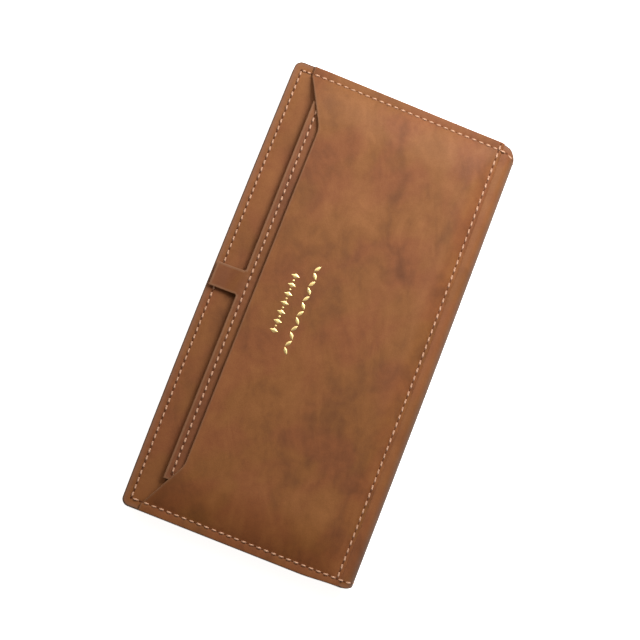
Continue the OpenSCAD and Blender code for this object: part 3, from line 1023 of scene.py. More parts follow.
@dataclass(frozen=True)
class Stitching:
    """Rows of lock stitch: an arched thread from hole to hole, and a dark pad of painted shade at each hole.

    A stitch's centreline at t from -1 to 1 lies length / 2 t along the row and rises by
    lift (1 - t^4) - bury t^8 above the leather. Its cross-section is an oval ring.
    """

    thread_radius: float = 0.35 * MM
    length_share: float = 0.68
    lift: float = 0.2 * MM
    bury: float = 0.42 * MM
    hole_shade_length: float = 1.1 * MM
    hole_shade_width: float = 0.66 * MM
    slant: float = 0.08
    slant_spread: float = 0.04
    size_spread: float = 0.06
    flatness: float = 0.78
    sides: int = 8
    sections: int = 9

    def build(self, name: str, runs: Sequence[Run], finishes: Finishes) -> list[bpy.types.Object]:
        """Makes one object of thread and one of the holes' painted shade for all the runs.

        Args:
            name: The start of both names.
            runs: The rows of holes.
            finishes: Where the materials come from.

        Returns:
            The thread and the holes' painted shade.
        """
        thread = self._thread(f"{name}_thread", runs)
        thread.data.materials.append(finishes.thread)
        # Each hole is painted shade: a dark pad on the leather's face, as no hole is cut.
        pip = Pips(round_outline(self.hole_shade_length, self.hole_shade_width, 10), 0.03 * MM, 0.12 * MM)
        origin = np.concatenate([r.holes + r.normals * 0.012 * MM for r in runs])
        along = np.concatenate([self._directions(r) for r in runs])
        normal = np.concatenate([r.normals for r in runs])
        holes = pip.build(f"{name}_holes", origin, along, normal)
        holes.data.materials.append(finishes.hole)
        return [thread, holes]

    def sew(self, name: str, runs: Sequence[Run], finishes: Finishes, body: str, node: str) -> None:
        """Makes the runs' thread and the holes' painted shade, which stand for a CAD node and ride on one
        body.

        Args:
            name: The start of both pieces' names.
            runs: The rows of holes.
            finishes: Where the materials come from.
            body: The body that they move with.
            node: The CAD node that they stand for.
        """
        for piece in self.build(name, runs, finishes):
            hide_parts(node)
            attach(report(piece), body)

    @staticmethod
    def _directions(run: Run) -> FloatArray:
        """The row's unit direction at each hole, square to the normal."""
        along = np.gradient(run.holes, axis=0)
        along -= (along * run.normals).sum(1, keepdims=True) * run.normals
        return along / np.linalg.norm(along, axis=1, keepdims=True)

    def _thread(self, name: str, runs: Sequence[Run]) -> bpy.types.Object:
        """The thread of all the runs as closed tubes, with a UV map along and round each.

        Args:
            name: The object's name.
            runs: The rows of holes.

        Returns:
            The new object.
        """
        start = np.concatenate([r.holes[:-1] for r in runs])
        end = np.concatenate([r.holes[1:] for r in runs])
        normal = np.concatenate([(r.normals[:-1] + r.normals[1:]) / 2 for r in runs])
        normal /= np.linalg.norm(normal, axis=1, keepdims=True)
        count = len(start)
        rng = np.random.default_rng(7)
        reach = (end - start) / 2
        half = np.linalg.norm(reach, axis=1)
        along = reach / half[:, None]
        across = np.cross(normal, along)
        skew = self.slant + rng.normal(0.0, self.slant_spread, count)[:, None]
        along, across = along + across * skew, across - along * skew
        t = np.sin(np.linspace(-1.0, 1.0, self.sections) * math.pi / 2)
        plump = 1.0 + rng.normal(0.0, self.size_spread, (count, 1))
        rise = self.lift * plump * (1.0 - t**4) - self.bury * t**8
        line = (
            ((start + end) / 2)[:, None]
            + along[:, None] * (half[:, None] * self.length_share * t)[..., None]
            + normal[:, None] * rise[..., None]
        )
        radius = self.thread_radius * plump * np.sqrt(1.0 - 0.75 * t**6)
        angle = np.arange(self.sides) * 2 * math.pi / self.sides
        ring = (
            across[:, None, None] * np.cos(angle)[None, None, :, None]
            + normal[:, None, None] * self.flatness * np.sin(angle)[None, None, :, None]
        )
        tube = line[:, :, None] + ring * radius[:, :, None, None]
        ends = np.stack([line[:, 0], line[:, -1]], axis=1)
        vertices = np.concatenate([tube.reshape(count, -1, 3), ends], axis=1).reshape(-1, 3)
        faces = self._tube_faces(count)
        made = mesh_object(name, vertices, faces, crease_deg=80.0)
        u = np.repeat(t[:, None] * self.length_share * 1.5, self.sides, axis=1)
        v = np.repeat(angle[None, :] / (2 * math.pi), self.sections, axis=0)
        around = np.stack([u.ravel(), v.ravel()], axis=1)
        caps = np.array([[-1.2, 0.5], [1.2, 0.5]])
        flat_map(made, np.tile(np.concatenate([around, caps]), (count, 1)) * MM)
        return made

    def _tube_faces(self, count: int) -> list[FloatArray]:
        """Quads round each tube and a fan at each end, for count tubes.

        Args:
            count: How many stitches there are.

        Returns:
            The triangles of the ends and the quads of the tubes.
        """
        s, n = self.sides, self.sections
        i = np.arange(s)
        j = (i + 1) % s
        row = (np.arange(n - 1) * s)[:, None]
        quads = np.stack([row + i, row + s + i, row + s + j, row + j], axis=2).reshape(-1, 4)
        first = np.stack([i, j, np.full(s, n * s)], axis=1)
        last = np.stack([(n - 1) * s + j, (n - 1) * s + i, np.full(s, n * s + 1)], axis=1)
        shift = (np.arange(count) * (n * s + 2))[:, None, None]
        fans = np.concatenate([first, last])
        return [(fans[None] + shift).reshape(-1, 3), (quads[None] + shift).reshape(-1, 4)]


# ---------------------------------------------------------------------------------------------
# Covers and fold
# ---------------------------------------------------------------------------------------------


def dress(piece: bpy.types.Object, material: bpy.types.Material, slot: str) -> bpy.types.Object:
    """Gives a piece its material."""
    piece.data.materials.clear()
    piece.data.materials.append(material)
    return piece


def grain_down(piece: bpy.types.Object) -> None:
    """Puts a leather ply's grain on its underside, and its flesh side on top."""
    layer = piece.data.attributes["grain_side"]
    values = np.zeros(len(layer.data), np.float32)
    layer.data.foreach_get("value", values)
    layer.data.foreach_set("value", 1.0 - values)


def report(piece: bpy.types.Object) -> bpy.types.Object:
    """Logs a piece's name and its number of faces."""
    log.info("%s: %d faces", piece.name, len(piece.data.polygons))
    return piece


def settle(piece: bpy.types.Object, material: bpy.types.Material, slot: str, node: str,
           body: str) -> bpy.types.Object:
    """Dresses a piece, lets it stand for a CAD node and rides it on a body.

    Args:
        piece: The piece.
        material: Its finish.
        slot: Not used.
        node: The CAD node that it stands for.
        body: The body that it moves with.

    Returns:
        The piece.
    """
    dress(piece, material, slot)
    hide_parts(node)
    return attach(report(piece), body)


@dataclass(frozen=True)
class Seams:
    """Where the seams run, as distances in metres, how long a stitch is, and how deep a seam lies.

    The side, top, bottom and sleeve values are distances in from an edge, and sink is how deep the
    back's seams lie in their groove.
    """

    pitch: float = 3.1 * MM
    top_pitch: float = 3.0 * MM
    bottom_pitch: float = 3.3 * MM
    side: float = 3.4 * MM
    top: float = 3.3 * MM
    bottom: float = 6.2 * MM
    sleeve: float = 2.6 * MM
    groove: float = 0.14 * MM
    groove_width: float = 0.75 * MM
    pucker: float = 0.05 * MM
    pucker_width: float = 1.8 * MM
    upper_pitch: float = 2.6 * MM
    sink: float = 0.5 * MM

    def furrow(self, along: FloatArray, across: FloatArray) -> FloatArray:
        """How far a seam pulls the leather down: a groove, with a pucker for every stitch.

        The groove is a bell across the seam, and the pucker is a wider bell times a cosine along it.

        Args:
            along: Places along the seam.
            across: Distances from its line.

        Returns:
            The height that is added to the leather, which is 0 or less but for the pucker.
        """
        wave = np.cos(2 * math.pi * along / self.pitch)
        pucker = self.pucker * ridge(across, self.pucker_width) * wave
        return -self.groove * ridge(across, self.groove_width) - pucker


class Covers:
    """The shape that the covers, linings and spine share, worked out from the CAD plies."""

    def __init__(self) -> None:
        """Reads the driving places from the frame."""
        front, spine = Box.of("front_leather"), Box.of("spine_leather")
        self.half_length = front.x1
        self.opening_y = front.y1 + 0.35 * MM
        self.front_z = front.z1
        self.leather = front.thickness
        self.spine_y = spine.y0
        self.fold_end_y = spine.y1
        self.fold_radius = spine.y1 - spine.y0
        self.fold_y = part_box("spine_stitches")[0].y
        self.corner = 3.0 * MM
        self.fold_bulge = 1.5 * MM
        self.lining_swell = 0.15
        self.end_tuck = {1: 4.4 * MM, -1: 1.8 * MM}
        self.end_lean = 0.8 * MM
        self.seam_climb = 1.5 * MM
        self.rim_drop = 1.2 * MM
        self.end_drop = 0.5 * MM
        self.seams = Seams()
        self.side_seam_x = self.half_length - self.seams.side
        self.top_seam_y = self.opening_y - self.seams.top
        self.bottom_seam_y = self.fold_y + self.seams.bottom

    def droop(self, x: FloatArray, y: FloatArray) -> FloatArray:
        """How far the front cover sinks towards its opening edge and its ends, as soft steps.

        Args:
            x: Places along X.
            y: Places along Y.

        Returns:
            The height that is added to a flat cover, 0 or less.
        """
        towards_rim = smooth(y, self.opening_y - 17 * MM, self.opening_y + 3 * MM)
        towards_end = smooth(np.abs(x), self.half_length - 12 * MM, self.half_length + 2 * MM)
        open_side = smooth(y, self.fold_end_y, self.fold_end_y + 30 * MM)
        return -self.rim_drop * towards_rim - self.end_drop * towards_end * open_side

    def front_face(self, x: FloatArray, y: FloatArray) -> FloatArray:
        """The height of the front cover's leather: flat, less its droop, plus slow waves.

        Args:
            x: Places along X.
            y: Places along Y.

        Returns:
            The height of the leather's outer face.
        """
        wave = (
            np.sin(x / (19 * MM) + 0.7) * np.cos(y / (13 * MM))
            + 0.6 * np.sin(x / (9 * MM) - y / (11 * MM))
        )
        return self.front_z + self.droop(x, y) + 0.05 * MM * wave

    def path(self, distance: FloatArray, depth: float) -> tuple[FloatArray, FloatArray]:
        """The front half of the wrap, a distance up from the middle of the spine.

        It runs straight up the spine, round a quarter circle of the fold's radius less the depth,
        and then level towards the opening edge.

        Args:
            distance: How far along the path, in metres.
            depth: How far the path lies inside the leather's outer face.

        Returns:
            The path's Y and Z.
        """
        radius = self.fold_radius - depth
        rise = self.front_z / 2 - self.fold_radius
        bend = radius * math.pi / 2
        angle = np.clip((distance - rise) / radius, 0.0, math.pi / 2)
        level = np.maximum(distance - rise - bend, 0.0)
        y = self.fold_end_y - radius * np.cos(angle) + level
        z = self.front_z / 2 + np.minimum(distance, rise) + radius * np.sin(angle)
        return y, z

    def bulge(self, x: FloatArray, distance: FloatArray, bend_end: float) -> FloatArray:
        """How far the fold swells outwards at mid-height: 1 - 0.2 t^2 - 0.23 t, with t = x / half.

        Args:
            x: Places along X.
            distance: How far up the path from the spine's middle.
            bend_end: Where on the path the fold ends.

        Returns:
            The swell, in metres.
        """
        share = x / self.half_length
        return self.fold_bulge * (1.0 - 0.2 * share**2 - 0.23 * share) * smooth(distance, bend_end, 0.0)

    def bow(self, x: FloatArray, y: FloatArray) -> FloatArray:
        """How far the opening edge curves back at its ends: t^2 times its share of the way out."""
        most = np.where(x < 0, 0.8 * MM, 0.35 * MM)
        return most * (x / self.half_length) ** 2 * smooth(y, self.opening_y - 18 * MM, self.opening_y)

    def path_length(self, depth: float, end_y: float) -> float:
        """The length of the path from the middle of the spine to end_y."""
        radius = self.fold_radius - depth
        return self.front_z / 2 - self.fold_radius + radius * math.pi / 2 + end_y - self.fold_end_y

    def lean(self, x: FloatArray, y: FloatArray) -> FloatArray:
        """How far the -X end leans in towards the fold, as a soft step."""
        return np.where(x < 0, self.end_lean, 0.0) * smooth(y, -28 * MM, self.fold_end_y)

    def tuck(self, x: FloatArray, distance: FloatArray) -> FloatArray:
        """How far an end is drawn in round the fold, which rounds the fold's corner.

        Args:
            x: Places along X, of which the sign counts.
            distance: How far up the path from the spine's middle.

        Returns:
            How far in the end lies, in metres.
        """
        right = self.end_tuck[1] * smooth(distance, 6.8 * MM, 0.2 * MM)
        left = self.end_tuck[-1] * smooth(distance, 5.6 * MM, 0.0)
        return np.where(x < 0, left, right)

    def half_width(self, side: FloatArray, distance: FloatArray, y: FloatArray) -> FloatArray:
        """How far the skin reaches on a side: it steps in past the bottom seam and is tucked at the fold.

        Args:
            side: 1 for the +X side and -1 for the other.
            distance: How far up the path from the spine's middle.
            y: The path's Y there.

        Returns:
            The reach from the middle, in metres.
        """
        seam = self.bottom_seam(side * self.half_length)
        step = np.where(side < 0, 0.0, 0.6 * MM) * smooth(y, seam - 1.6 * MM, seam - 2.8 * MM)
        cut = corner_cut(np.maximum(y, 0.0), self.opening_y, self.corner)
        return self.half_length - step - self.lean(side, y) - self.tuck(side, distance) - cut

    def bottom_seam(self, x: FloatArray) -> FloatArray:
        """The bottom seam's Y, which climbs a little towards the +X end."""
        return self.bottom_seam_y + self.seam_climb * smooth(x, -30 * MM, 130 * MM)

    def wrap(self, name: str, depth: float, thickness: float, front: bool,
             end_inset: float = 0.0, board: float = 0.0) -> bpy.types.Object:
        """A skin that runs from the middle of the spine round the fold to the opening edge.

        Args:
            name: The piece's name.
            depth: How far its middle lies inside the leather's outer face.
            thickness: Its thickness.
            front: True for the front cover, and False for the back cover, which is its mirror.
            end_inset: How far it stops short of the leather's edges.
            board: How much further in it lies on the level part, where it covers a board.

        Returns:
            The new piece.
        """
        total = self.path_length(depth, self.opening_y - end_inset)
        bend_end = self.path_length(depth, self.fold_end_y)
        fold_rows = np.linspace(0.0, bend_end, 20)
        flat_rows = graded(bend_end, total, 1.0 * MM)[6:]
        distance = np.concatenate([fold_rows[:-1], flat_rows])
        u = graded(-self.half_length, self.half_length, 0.78 * MM) / self.half_length
        grid_u, s = np.meshgrid(u, distance)
        y, z = self.path(s, depth)
        half_width = self.half_width(np.sign(grid_u), s, y) - end_inset
        x = grid_u * half_width
        inset = np.minimum(half_width - np.abs(x), self.opening_y - end_inset - y)
        near_corner = y > self.opening_y - self.corner
        rounded = rounded_inset(x, y, self.half_length - end_inset, self.opening_y - end_inset, self.corner)
        inset = np.where(near_corner, rounded, inset)
        if front:
            over_plate = smooth(y, self.fold_end_y, self.fold_end_y + 4 * MM)
            z = z + (self.front_face(x, y) - self.front_z) * over_plate
        z = z - board * smooth(y, self.fold_end_y, self.fold_end_y + 2 * MM)
        if depth < self.leather:
            z = z + self._seam_relief(x, y, s, bend_end)
        swell = 1.0 if depth < self.leather else self.lining_swell
        y = y - swell * self.bulge(x, s, bend_end) - self.bow(x, y)
        points, flat = np.stack([x, y, z], axis=2), np.stack([x, s], axis=2)
        if not front:
            points[..., 2] = self.front_z - points[..., 2]
            points, inset, flat = points[::-1], inset[::-1], flat[::-1] * [1.0, -1.0]
        return Sheet(name, points, inset, thickness, flat=flat, open_row=0 if front else -1).build()

    def _seam_relief(self, x: FloatArray, y: FloatArray, s: FloatArray, bend_end: float) -> FloatArray:
        """The furrows of the top seam and of both side seams on the level part of the skin.

        Args:
            x: Places along X.
            y: Places along Y.
            s: How far along the path each place lies.
            bend_end: Where on the path the fold ends.

        Returns:
            The height that is added to the skin.
        """
        level = smooth(s, bend_end, bend_end + 2 * MM)
        between_sides = smooth(np.abs(x), self.side_seam_x + MM, self.side_seam_x)
        below_top = smooth(y, self.top_seam_y + MM, self.top_seam_y)
        top = self.seams.furrow(x, y - self.top_seam_y) * between_sides
        side = self.seams.furrow(y, np.abs(x) - self.side_seam_x) * below_top
        return (top + side) * level

    def side_run(self, side: int, front: bool) -> Run:
        """A side seam's run round the fold, from the spine's middle to the cover's bottom seam.

        On the front its last hole is lifted onto the pocket's edge, and on the back the seam is
        sunk where it faces down, so the wallet lies flat.

        Args:
            side: 1 for the +X end and -1 for the other.
            front: True for the front half of the wrap.

        Returns:
            The run, on the leather's outer face.
        """
        seam_y = float(self.bottom_seam(side * self.side_seam_x)) if front else self.bottom_seam_y
        end = self.path_length(0.0, seam_y)
        count = max(2, round(end / self.seams.pitch) + 1)
        s = np.linspace(0.0, end, count)
        y, z = self.path(s, 0.0)
        ahead_y, ahead_z = self.path(s + 0.05 * MM, 0.0)
        dy, dz = ahead_y - y, ahead_z - z
        normals = np.stack([np.zeros_like(s), -dz, dy], axis=1)
        normals /= np.linalg.norm(normals, axis=1, keepdims=True)
        x = np.full_like(s, side * self.side_seam_x)
        bend_end = self.path_length(0.0, self.fold_end_y)
        lift = (self.leather - 0.1 * MM) * smooth(y, seam_y - 2.2 * MM, seam_y)
        sink = self.seams.sink * normals[:, 2] ** 2
        z = z + lift if front else self.front_z - z + sink
        drawn_in = 0.65 * self.tuck(x, s)
        holes = np.stack([x - side * drawn_in, y - self.bulge(x, s, bend_end), z], axis=1)
        if not front:
            normals[:, 2] *= -1
        return Run(holes, normals)


class OuterLeather:
    """The one long skin of the wallet, as the half that wraps each cover."""

    def __init__(self, covers: Covers, finishes: Finishes, stitching: Stitching) -> None:
        """Keeps what the methods share.

        Args:
            covers: The shape that the pieces follow.
            finishes: Where the materials come from.
            stitching: What makes the seams.
        """
        self.covers, self.finishes, self.stitching = covers, finishes, stitching

    def _bend(self, piece: bpy.types.Object, front: bool) -> None:
        """Bakes a piece's transform into its mesh.

        Args:
            piece: The piece.
            front: True for the front cover.
        """
        c = self.covers
        spine_z = c.front_z - c.fold_radius if front else c.fold_radius
        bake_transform(piece)

    def build(self) -> None:
        """Makes both skins, both linings and the seams that only the skins carry."""
        c, f = self.covers, self.finishes
        half = c.leather / 2
        for front, name, material in ((True, "front_skin", f.cover), (False, "back_skin", f.back)):
            skin = report(dress(c.wrap(name, half, c.leather, front), material, "oiled_leather"))
            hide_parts("front_leather" if front else "back_leather", "spine_leather")
            self._bend(skin, front)
        self._linings()
        self._seams()

    def _linings(self) -> None:
        """The cloth inside each cover and half the spine, in one piece, over the cover's board."""
        c = self.covers
        cloth, gap, inset = 0.34 * MM, 0.03 * MM, 0.6 * MM
        for front, name in ((True, "front_cover_lining"), (False, "back_cover_lining")):
            node = "front_lining" if front else "back_lining"
            board = Box.of("front_stiffener" if front else "back_stiffener").thickness
            depth = c.leather + gap + cloth / 2
            lining = c.wrap(name, depth, cloth, front, end_inset=inset, board=board)
            report(dress(lining, self.finishes.lining, "lining"))
            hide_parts(node, "spine_lining")
            length = c.path_length(depth, c.opening_y - inset)
            2 * (c.half_length - inset)
            self._bend(lining, front)

    def _seams(self) -> None:
        """The top seam and the upper ends of the side seams, the back's seams, and the fold's."""
        c, s = self.covers, self.covers.seams
        above_wing_y = c.opening_y - 8.15 * MM + 0.4 * MM
        x = np.linspace(-c.side_seam_x, c.side_seam_x, round(2 * c.side_seam_x / s.top_pitch) + 1)
        top = [Run.through(c.front_face, x, c.top_seam_y - c.bow(x, c.top_seam_y))]
        self.stitching.sew("top_seam", top, self.finishes, "front_cover", "top_stitches")
        upper = [
            Run.over(c.front_face, (end_x, above_wing_y),
                     (end_x, c.top_seam_y - c.bow(end_x, c.top_seam_y)), s.upper_pitch)
            for end_x in (-c.side_seam_x, c.side_seam_x)
        ]
        self.stitching.sew("upper_side_seam", upper, self.finishes, "front_cover", "side_stitches")
        self._back_seams()
        for front, name in ((True, "front_fold_seam"), (False, "back_fold_seam")):
            runs = [c.side_run(side, front) for side in (-1, 1)]
            for piece in self.stitching.build(name, runs, self.finishes):
                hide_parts("spine_stitches")
                self._bend(piece, front)
                report(piece)

    def _back_seams(self) -> None:
        """The seams round the back cover, sunk in their groove."""
        c, s = self.covers, self.covers.seams

        def sunk(x: FloatArray, y: FloatArray) -> FloatArray:
            """The height of the seam's groove in the back cover."""
            return np.full_like(x, s.sink)

        x, low, high = c.side_seam_x, c.bottom_seam_y, c.top_seam_y
        runs = [Run.over(sunk, (-x, y), (x, y), s.pitch).turned_over() for y in (low, high)]
        runs += [Run.over(sunk, (side * x, low), (side * x, high), s.pitch).turned_over() for side in (-1, 1)]
        self.stitching.sew("back_seam", runs, self.finishes, "back_cover", "back_stitches")


# ---------------------------------------------------------------------------------------------
# Front pocket
# ---------------------------------------------------------------------------------------------


@dataclass(frozen=True)
class FoilRow:
    """A row of equal foil marks, whose turns in degrees are taken in turn."""

    name: str
    count: int
    step: float
    y: float
    turns_deg: tuple[float, float]
    outline: FloatArray

    def build(self, face: Height, middle_x: float) -> bpy.types.Object:
        """Presses the row into the face z = face(x, y), evenly about middle_x.

        Args:
            face: The height of the leather's face.
            middle_x: The row's middle along X.

        Returns:
            One object that holds the row's marks.
        """
        x = middle_x + (np.arange(self.count) - (self.count - 1) / 2) * self.step
        run = Run.over(face, (x[0], self.y), (x[-1], self.y), self.step)
        turn = np.radians(np.where(np.arange(self.count) % 2 == 0, *self.turns_deg))
        along = np.stack([np.cos(turn), np.sin(turn), np.zeros_like(turn)], axis=1)
        along -= (along * run.normals).sum(1, keepdims=True) * run.normals
        along /= np.linalg.norm(along, axis=1, keepdims=True)
        y = np.full_like(x, self.y)
        origin = np.stack([x, y, face(x, y) + 0.005 * MM], axis=1)
        return Pips(self.outline, 0.04 * MM, 0.1 * MM).build(self.name, origin, along, run.normals)


class FrontPocket:
    """The slanted pocket sewn on the front cover, with its seams and its foil ornament."""

    def __init__(self, covers: Covers, finishes: Finishes, stitching: Stitching) -> None:
        """Reads the pocket's box and works out its outline.

        Args:
            covers: The shape that the pieces follow.
            finishes: Where the materials come from.
            stitching: What makes the seams.
        """
        self.covers, self.finishes, self.stitching = covers, finishes, stitching
        box = Box.of("pocket_panel")
        self.bottom_y, self.wing_y, self.top_z = box.y0, box.y1 + 0.2 * MM, box.z1
        self.thickness = covers.leather
        self.mouth_y = covers.opening_y - 18.3 * MM
        self.mouth_x = covers.half_length - 23.2 * MM
        self.mouth_middle_x = -0.8 * MM
        self.raised = self.top_z - covers.front_z - self.thickness
        self.slope = (self.wing_y - self.mouth_y) / (covers.side_seam_x - self.mouth_x)

    def rise(self, x: FloatArray, y: FloatArray) -> FloatArray:
        """The share of its full height that the pocket stands at.

        It swells from three sides as 1 - (1 - t)^2.2, where t is the share of the swell's reach.

        Args:
            x: Places along X.
            y: Places along Y.

        Returns:
            The share, from 0 to 1.
        """
        c = self.covers
        from_side = np.clip((c.half_length - 3.9 * MM - np.abs(x)) / (19 * MM), 0.0, 1.0)
        from_fold = np.clip((y - c.bottom_seam(x) - 0.6 * MM) / (10 * MM), 0.0, 1.0)
        return (1.0 - (1.0 - from_side) ** 2.2) * (1.0 - (1.0 - from_fold) ** 2.2)

    def face(self, x: FloatArray, y: FloatArray) -> FloatArray:
        """The height of the pocket's outer face: the cover, a ply, the rise, a crown and waves.

        Args:
            x: Places along X.
            y: Places along Y.

        Returns:
            The height of the leather's outer face.
        """
        c = self.covers
        crown = 0.25 * MM * np.cos(x / c.half_length * 1.4) * np.cos((y + 6 * MM) / (60 * MM))
        wave = (
            np.sin(x / (23 * MM) + y / (31 * MM)) * np.cos(y / (17 * MM) - 0.6)
            + 0.7 * np.sin(x / (12.5 * MM) - y / (15 * MM) + 1.1)
            + 0.4 * np.cos(x / (7.3 * MM) + y / (9.1 * MM))
        )
        rise = self.rise(x, y)
        furrows = (
            c.seams.furrow(x, y - c.bottom_seam(x)) * smooth(np.abs(x), c.side_seam_x + MM, c.side_seam_x)
            + c.seams.furrow(y, np.abs(x) - c.side_seam_x) * smooth(y, c.bottom_seam_y - MM, c.bottom_seam_y)
        )
        base = c.front_z + c.droop(x, y) + self.thickness + 0.02 * MM
        pressed = 0.6 * MM * smooth(y, c.bottom_seam(x) - 0.2 * MM, c.bottom_seam(x) - 1.6 * MM)
        return base - pressed + rise * (self.raised + crown + 0.09 * MM * wave) + furrows

    def mouth(self, x: FloatArray) -> FloatArray:
        """The mouth's Y: level in the middle, and climbing in a straight slant to each wing.

        The corner between level and slant is rounded with a soft maximum.

        Args:
            x: Places along X.

        Returns:
            The mouth's edge at each place.
        """
        climb = self.slope * (np.abs(x - self.mouth_middle_x) - self.mouth_x)
        soft = 0.35 * MM
        lifted = soft * np.logaddexp(0.0, climb / soft)
        return self.mouth_y + np.minimum(lifted, self.wing_y - self.mouth_y)

    def build(self) -> None:
        """Makes the panel, its seams and the ornament."""
        self._panel()
        self._seams()
        self._ornament()

    def _panel(self) -> None:
        """The pocket's leather: rows are spread between its bottom edge and its mouth."""
        c = self.covers
        x_lines = graded(-c.half_length, c.half_length, 0.78 * MM)
        x_lines = np.unique(np.concatenate([x_lines, [-c.side_seam_x, c.side_seam_x]]))
        v_lines = graded(0.0, self.mouth_y - self.bottom_y, 0.85 * MM) / (self.mouth_y - self.bottom_y)
        x, v = np.meshgrid(x_lines, v_lines)
        top, bottom = self.mouth(x), c.bottom_seam(x) - 1.6 * MM
        y = bottom + v * (top - bottom)
        on_slant = (np.abs(x) > self.mouth_x) & (np.abs(x) < c.side_seam_x)
        lean = np.where(on_slant, math.cos(math.atan(self.slope)), 1.0)
        inset = np.minimum.reduce([c.half_length - np.abs(x), y - bottom, (top - y) * lean])
        x = x * (1.0 - c.lean(x, y) / c.half_length)
        z = self.face(x, y) - self.thickness / 2
        points = np.stack([x, y, z], axis=2)
        panel = Sheet("front_pocket_panel", points, inset, self.thickness, bare=(top - y) * lean).build()
        settle(panel, self.finishes.pocket, "oiled_leather", "pocket_panel", "front_cover")

    def _seams(self) -> None:
        """The bottom seam and the side seams below the wings."""
        c, pitch = self.covers, self.covers.seams.pitch
        past = c.side_seam_x + 2.4 * MM
        x = np.linspace(-c.side_seam_x, past, round((c.side_seam_x + past) / c.seams.bottom_pitch) + 1)
        bottom = [Run.through(self.face, x, c.bottom_seam(x))]
        sides = [
            Run.over(self.face, (x, c.bottom_seam(x)), (x, self.wing_y - 0.5 * MM), pitch)
            for x in (-c.side_seam_x, c.side_seam_x)
        ]
        self.stitching.sew("bottom_seam", bottom, self.finishes, "front_cover", "bottom_stitches")
        self.stitching.sew("pocket_side_seam", sides, self.finishes, "front_cover", "side_stitches")

    def _ornament(self) -> None:
        """Pressed gold foil: a row of lozenges and dots over a row of leaning leaves."""
        lozenges, step, upper_y, lower_y = 7, 27.0 * MM / 7, 17.0 * MM, 9.8 * MM
        lozenge, dot = leaf_outline(3.6 * MM, 1.9 * MM, 16, 1.0), round_outline(0.8 * MM, 0.8 * MM, 12)
        leaf = leaf_outline(3.3 * MM, 1.3 * MM, 16, 2.0)
        for row in (
            FoilRow("foil_lozenges", lozenges, step, upper_y, (90.0, 90.0), lozenge),
            FoilRow("foil_dots", lozenges - 1, step, upper_y, (0.0, 0.0), dot),
            FoilRow("foil_leaves", 12, 38.0 * MM / 12, lower_y, (35.0, -35.0), leaf),
        ):
            marks = row.build(self.face, Box.of("foil_ornament").centre[0])
            settle(marks, self.finishes.foil, "foil", "foil_ornament", "front_cover")


# ---------------------------------------------------------------------------------------------
# Card sleeve
# ---------------------------------------------------------------------------------------------


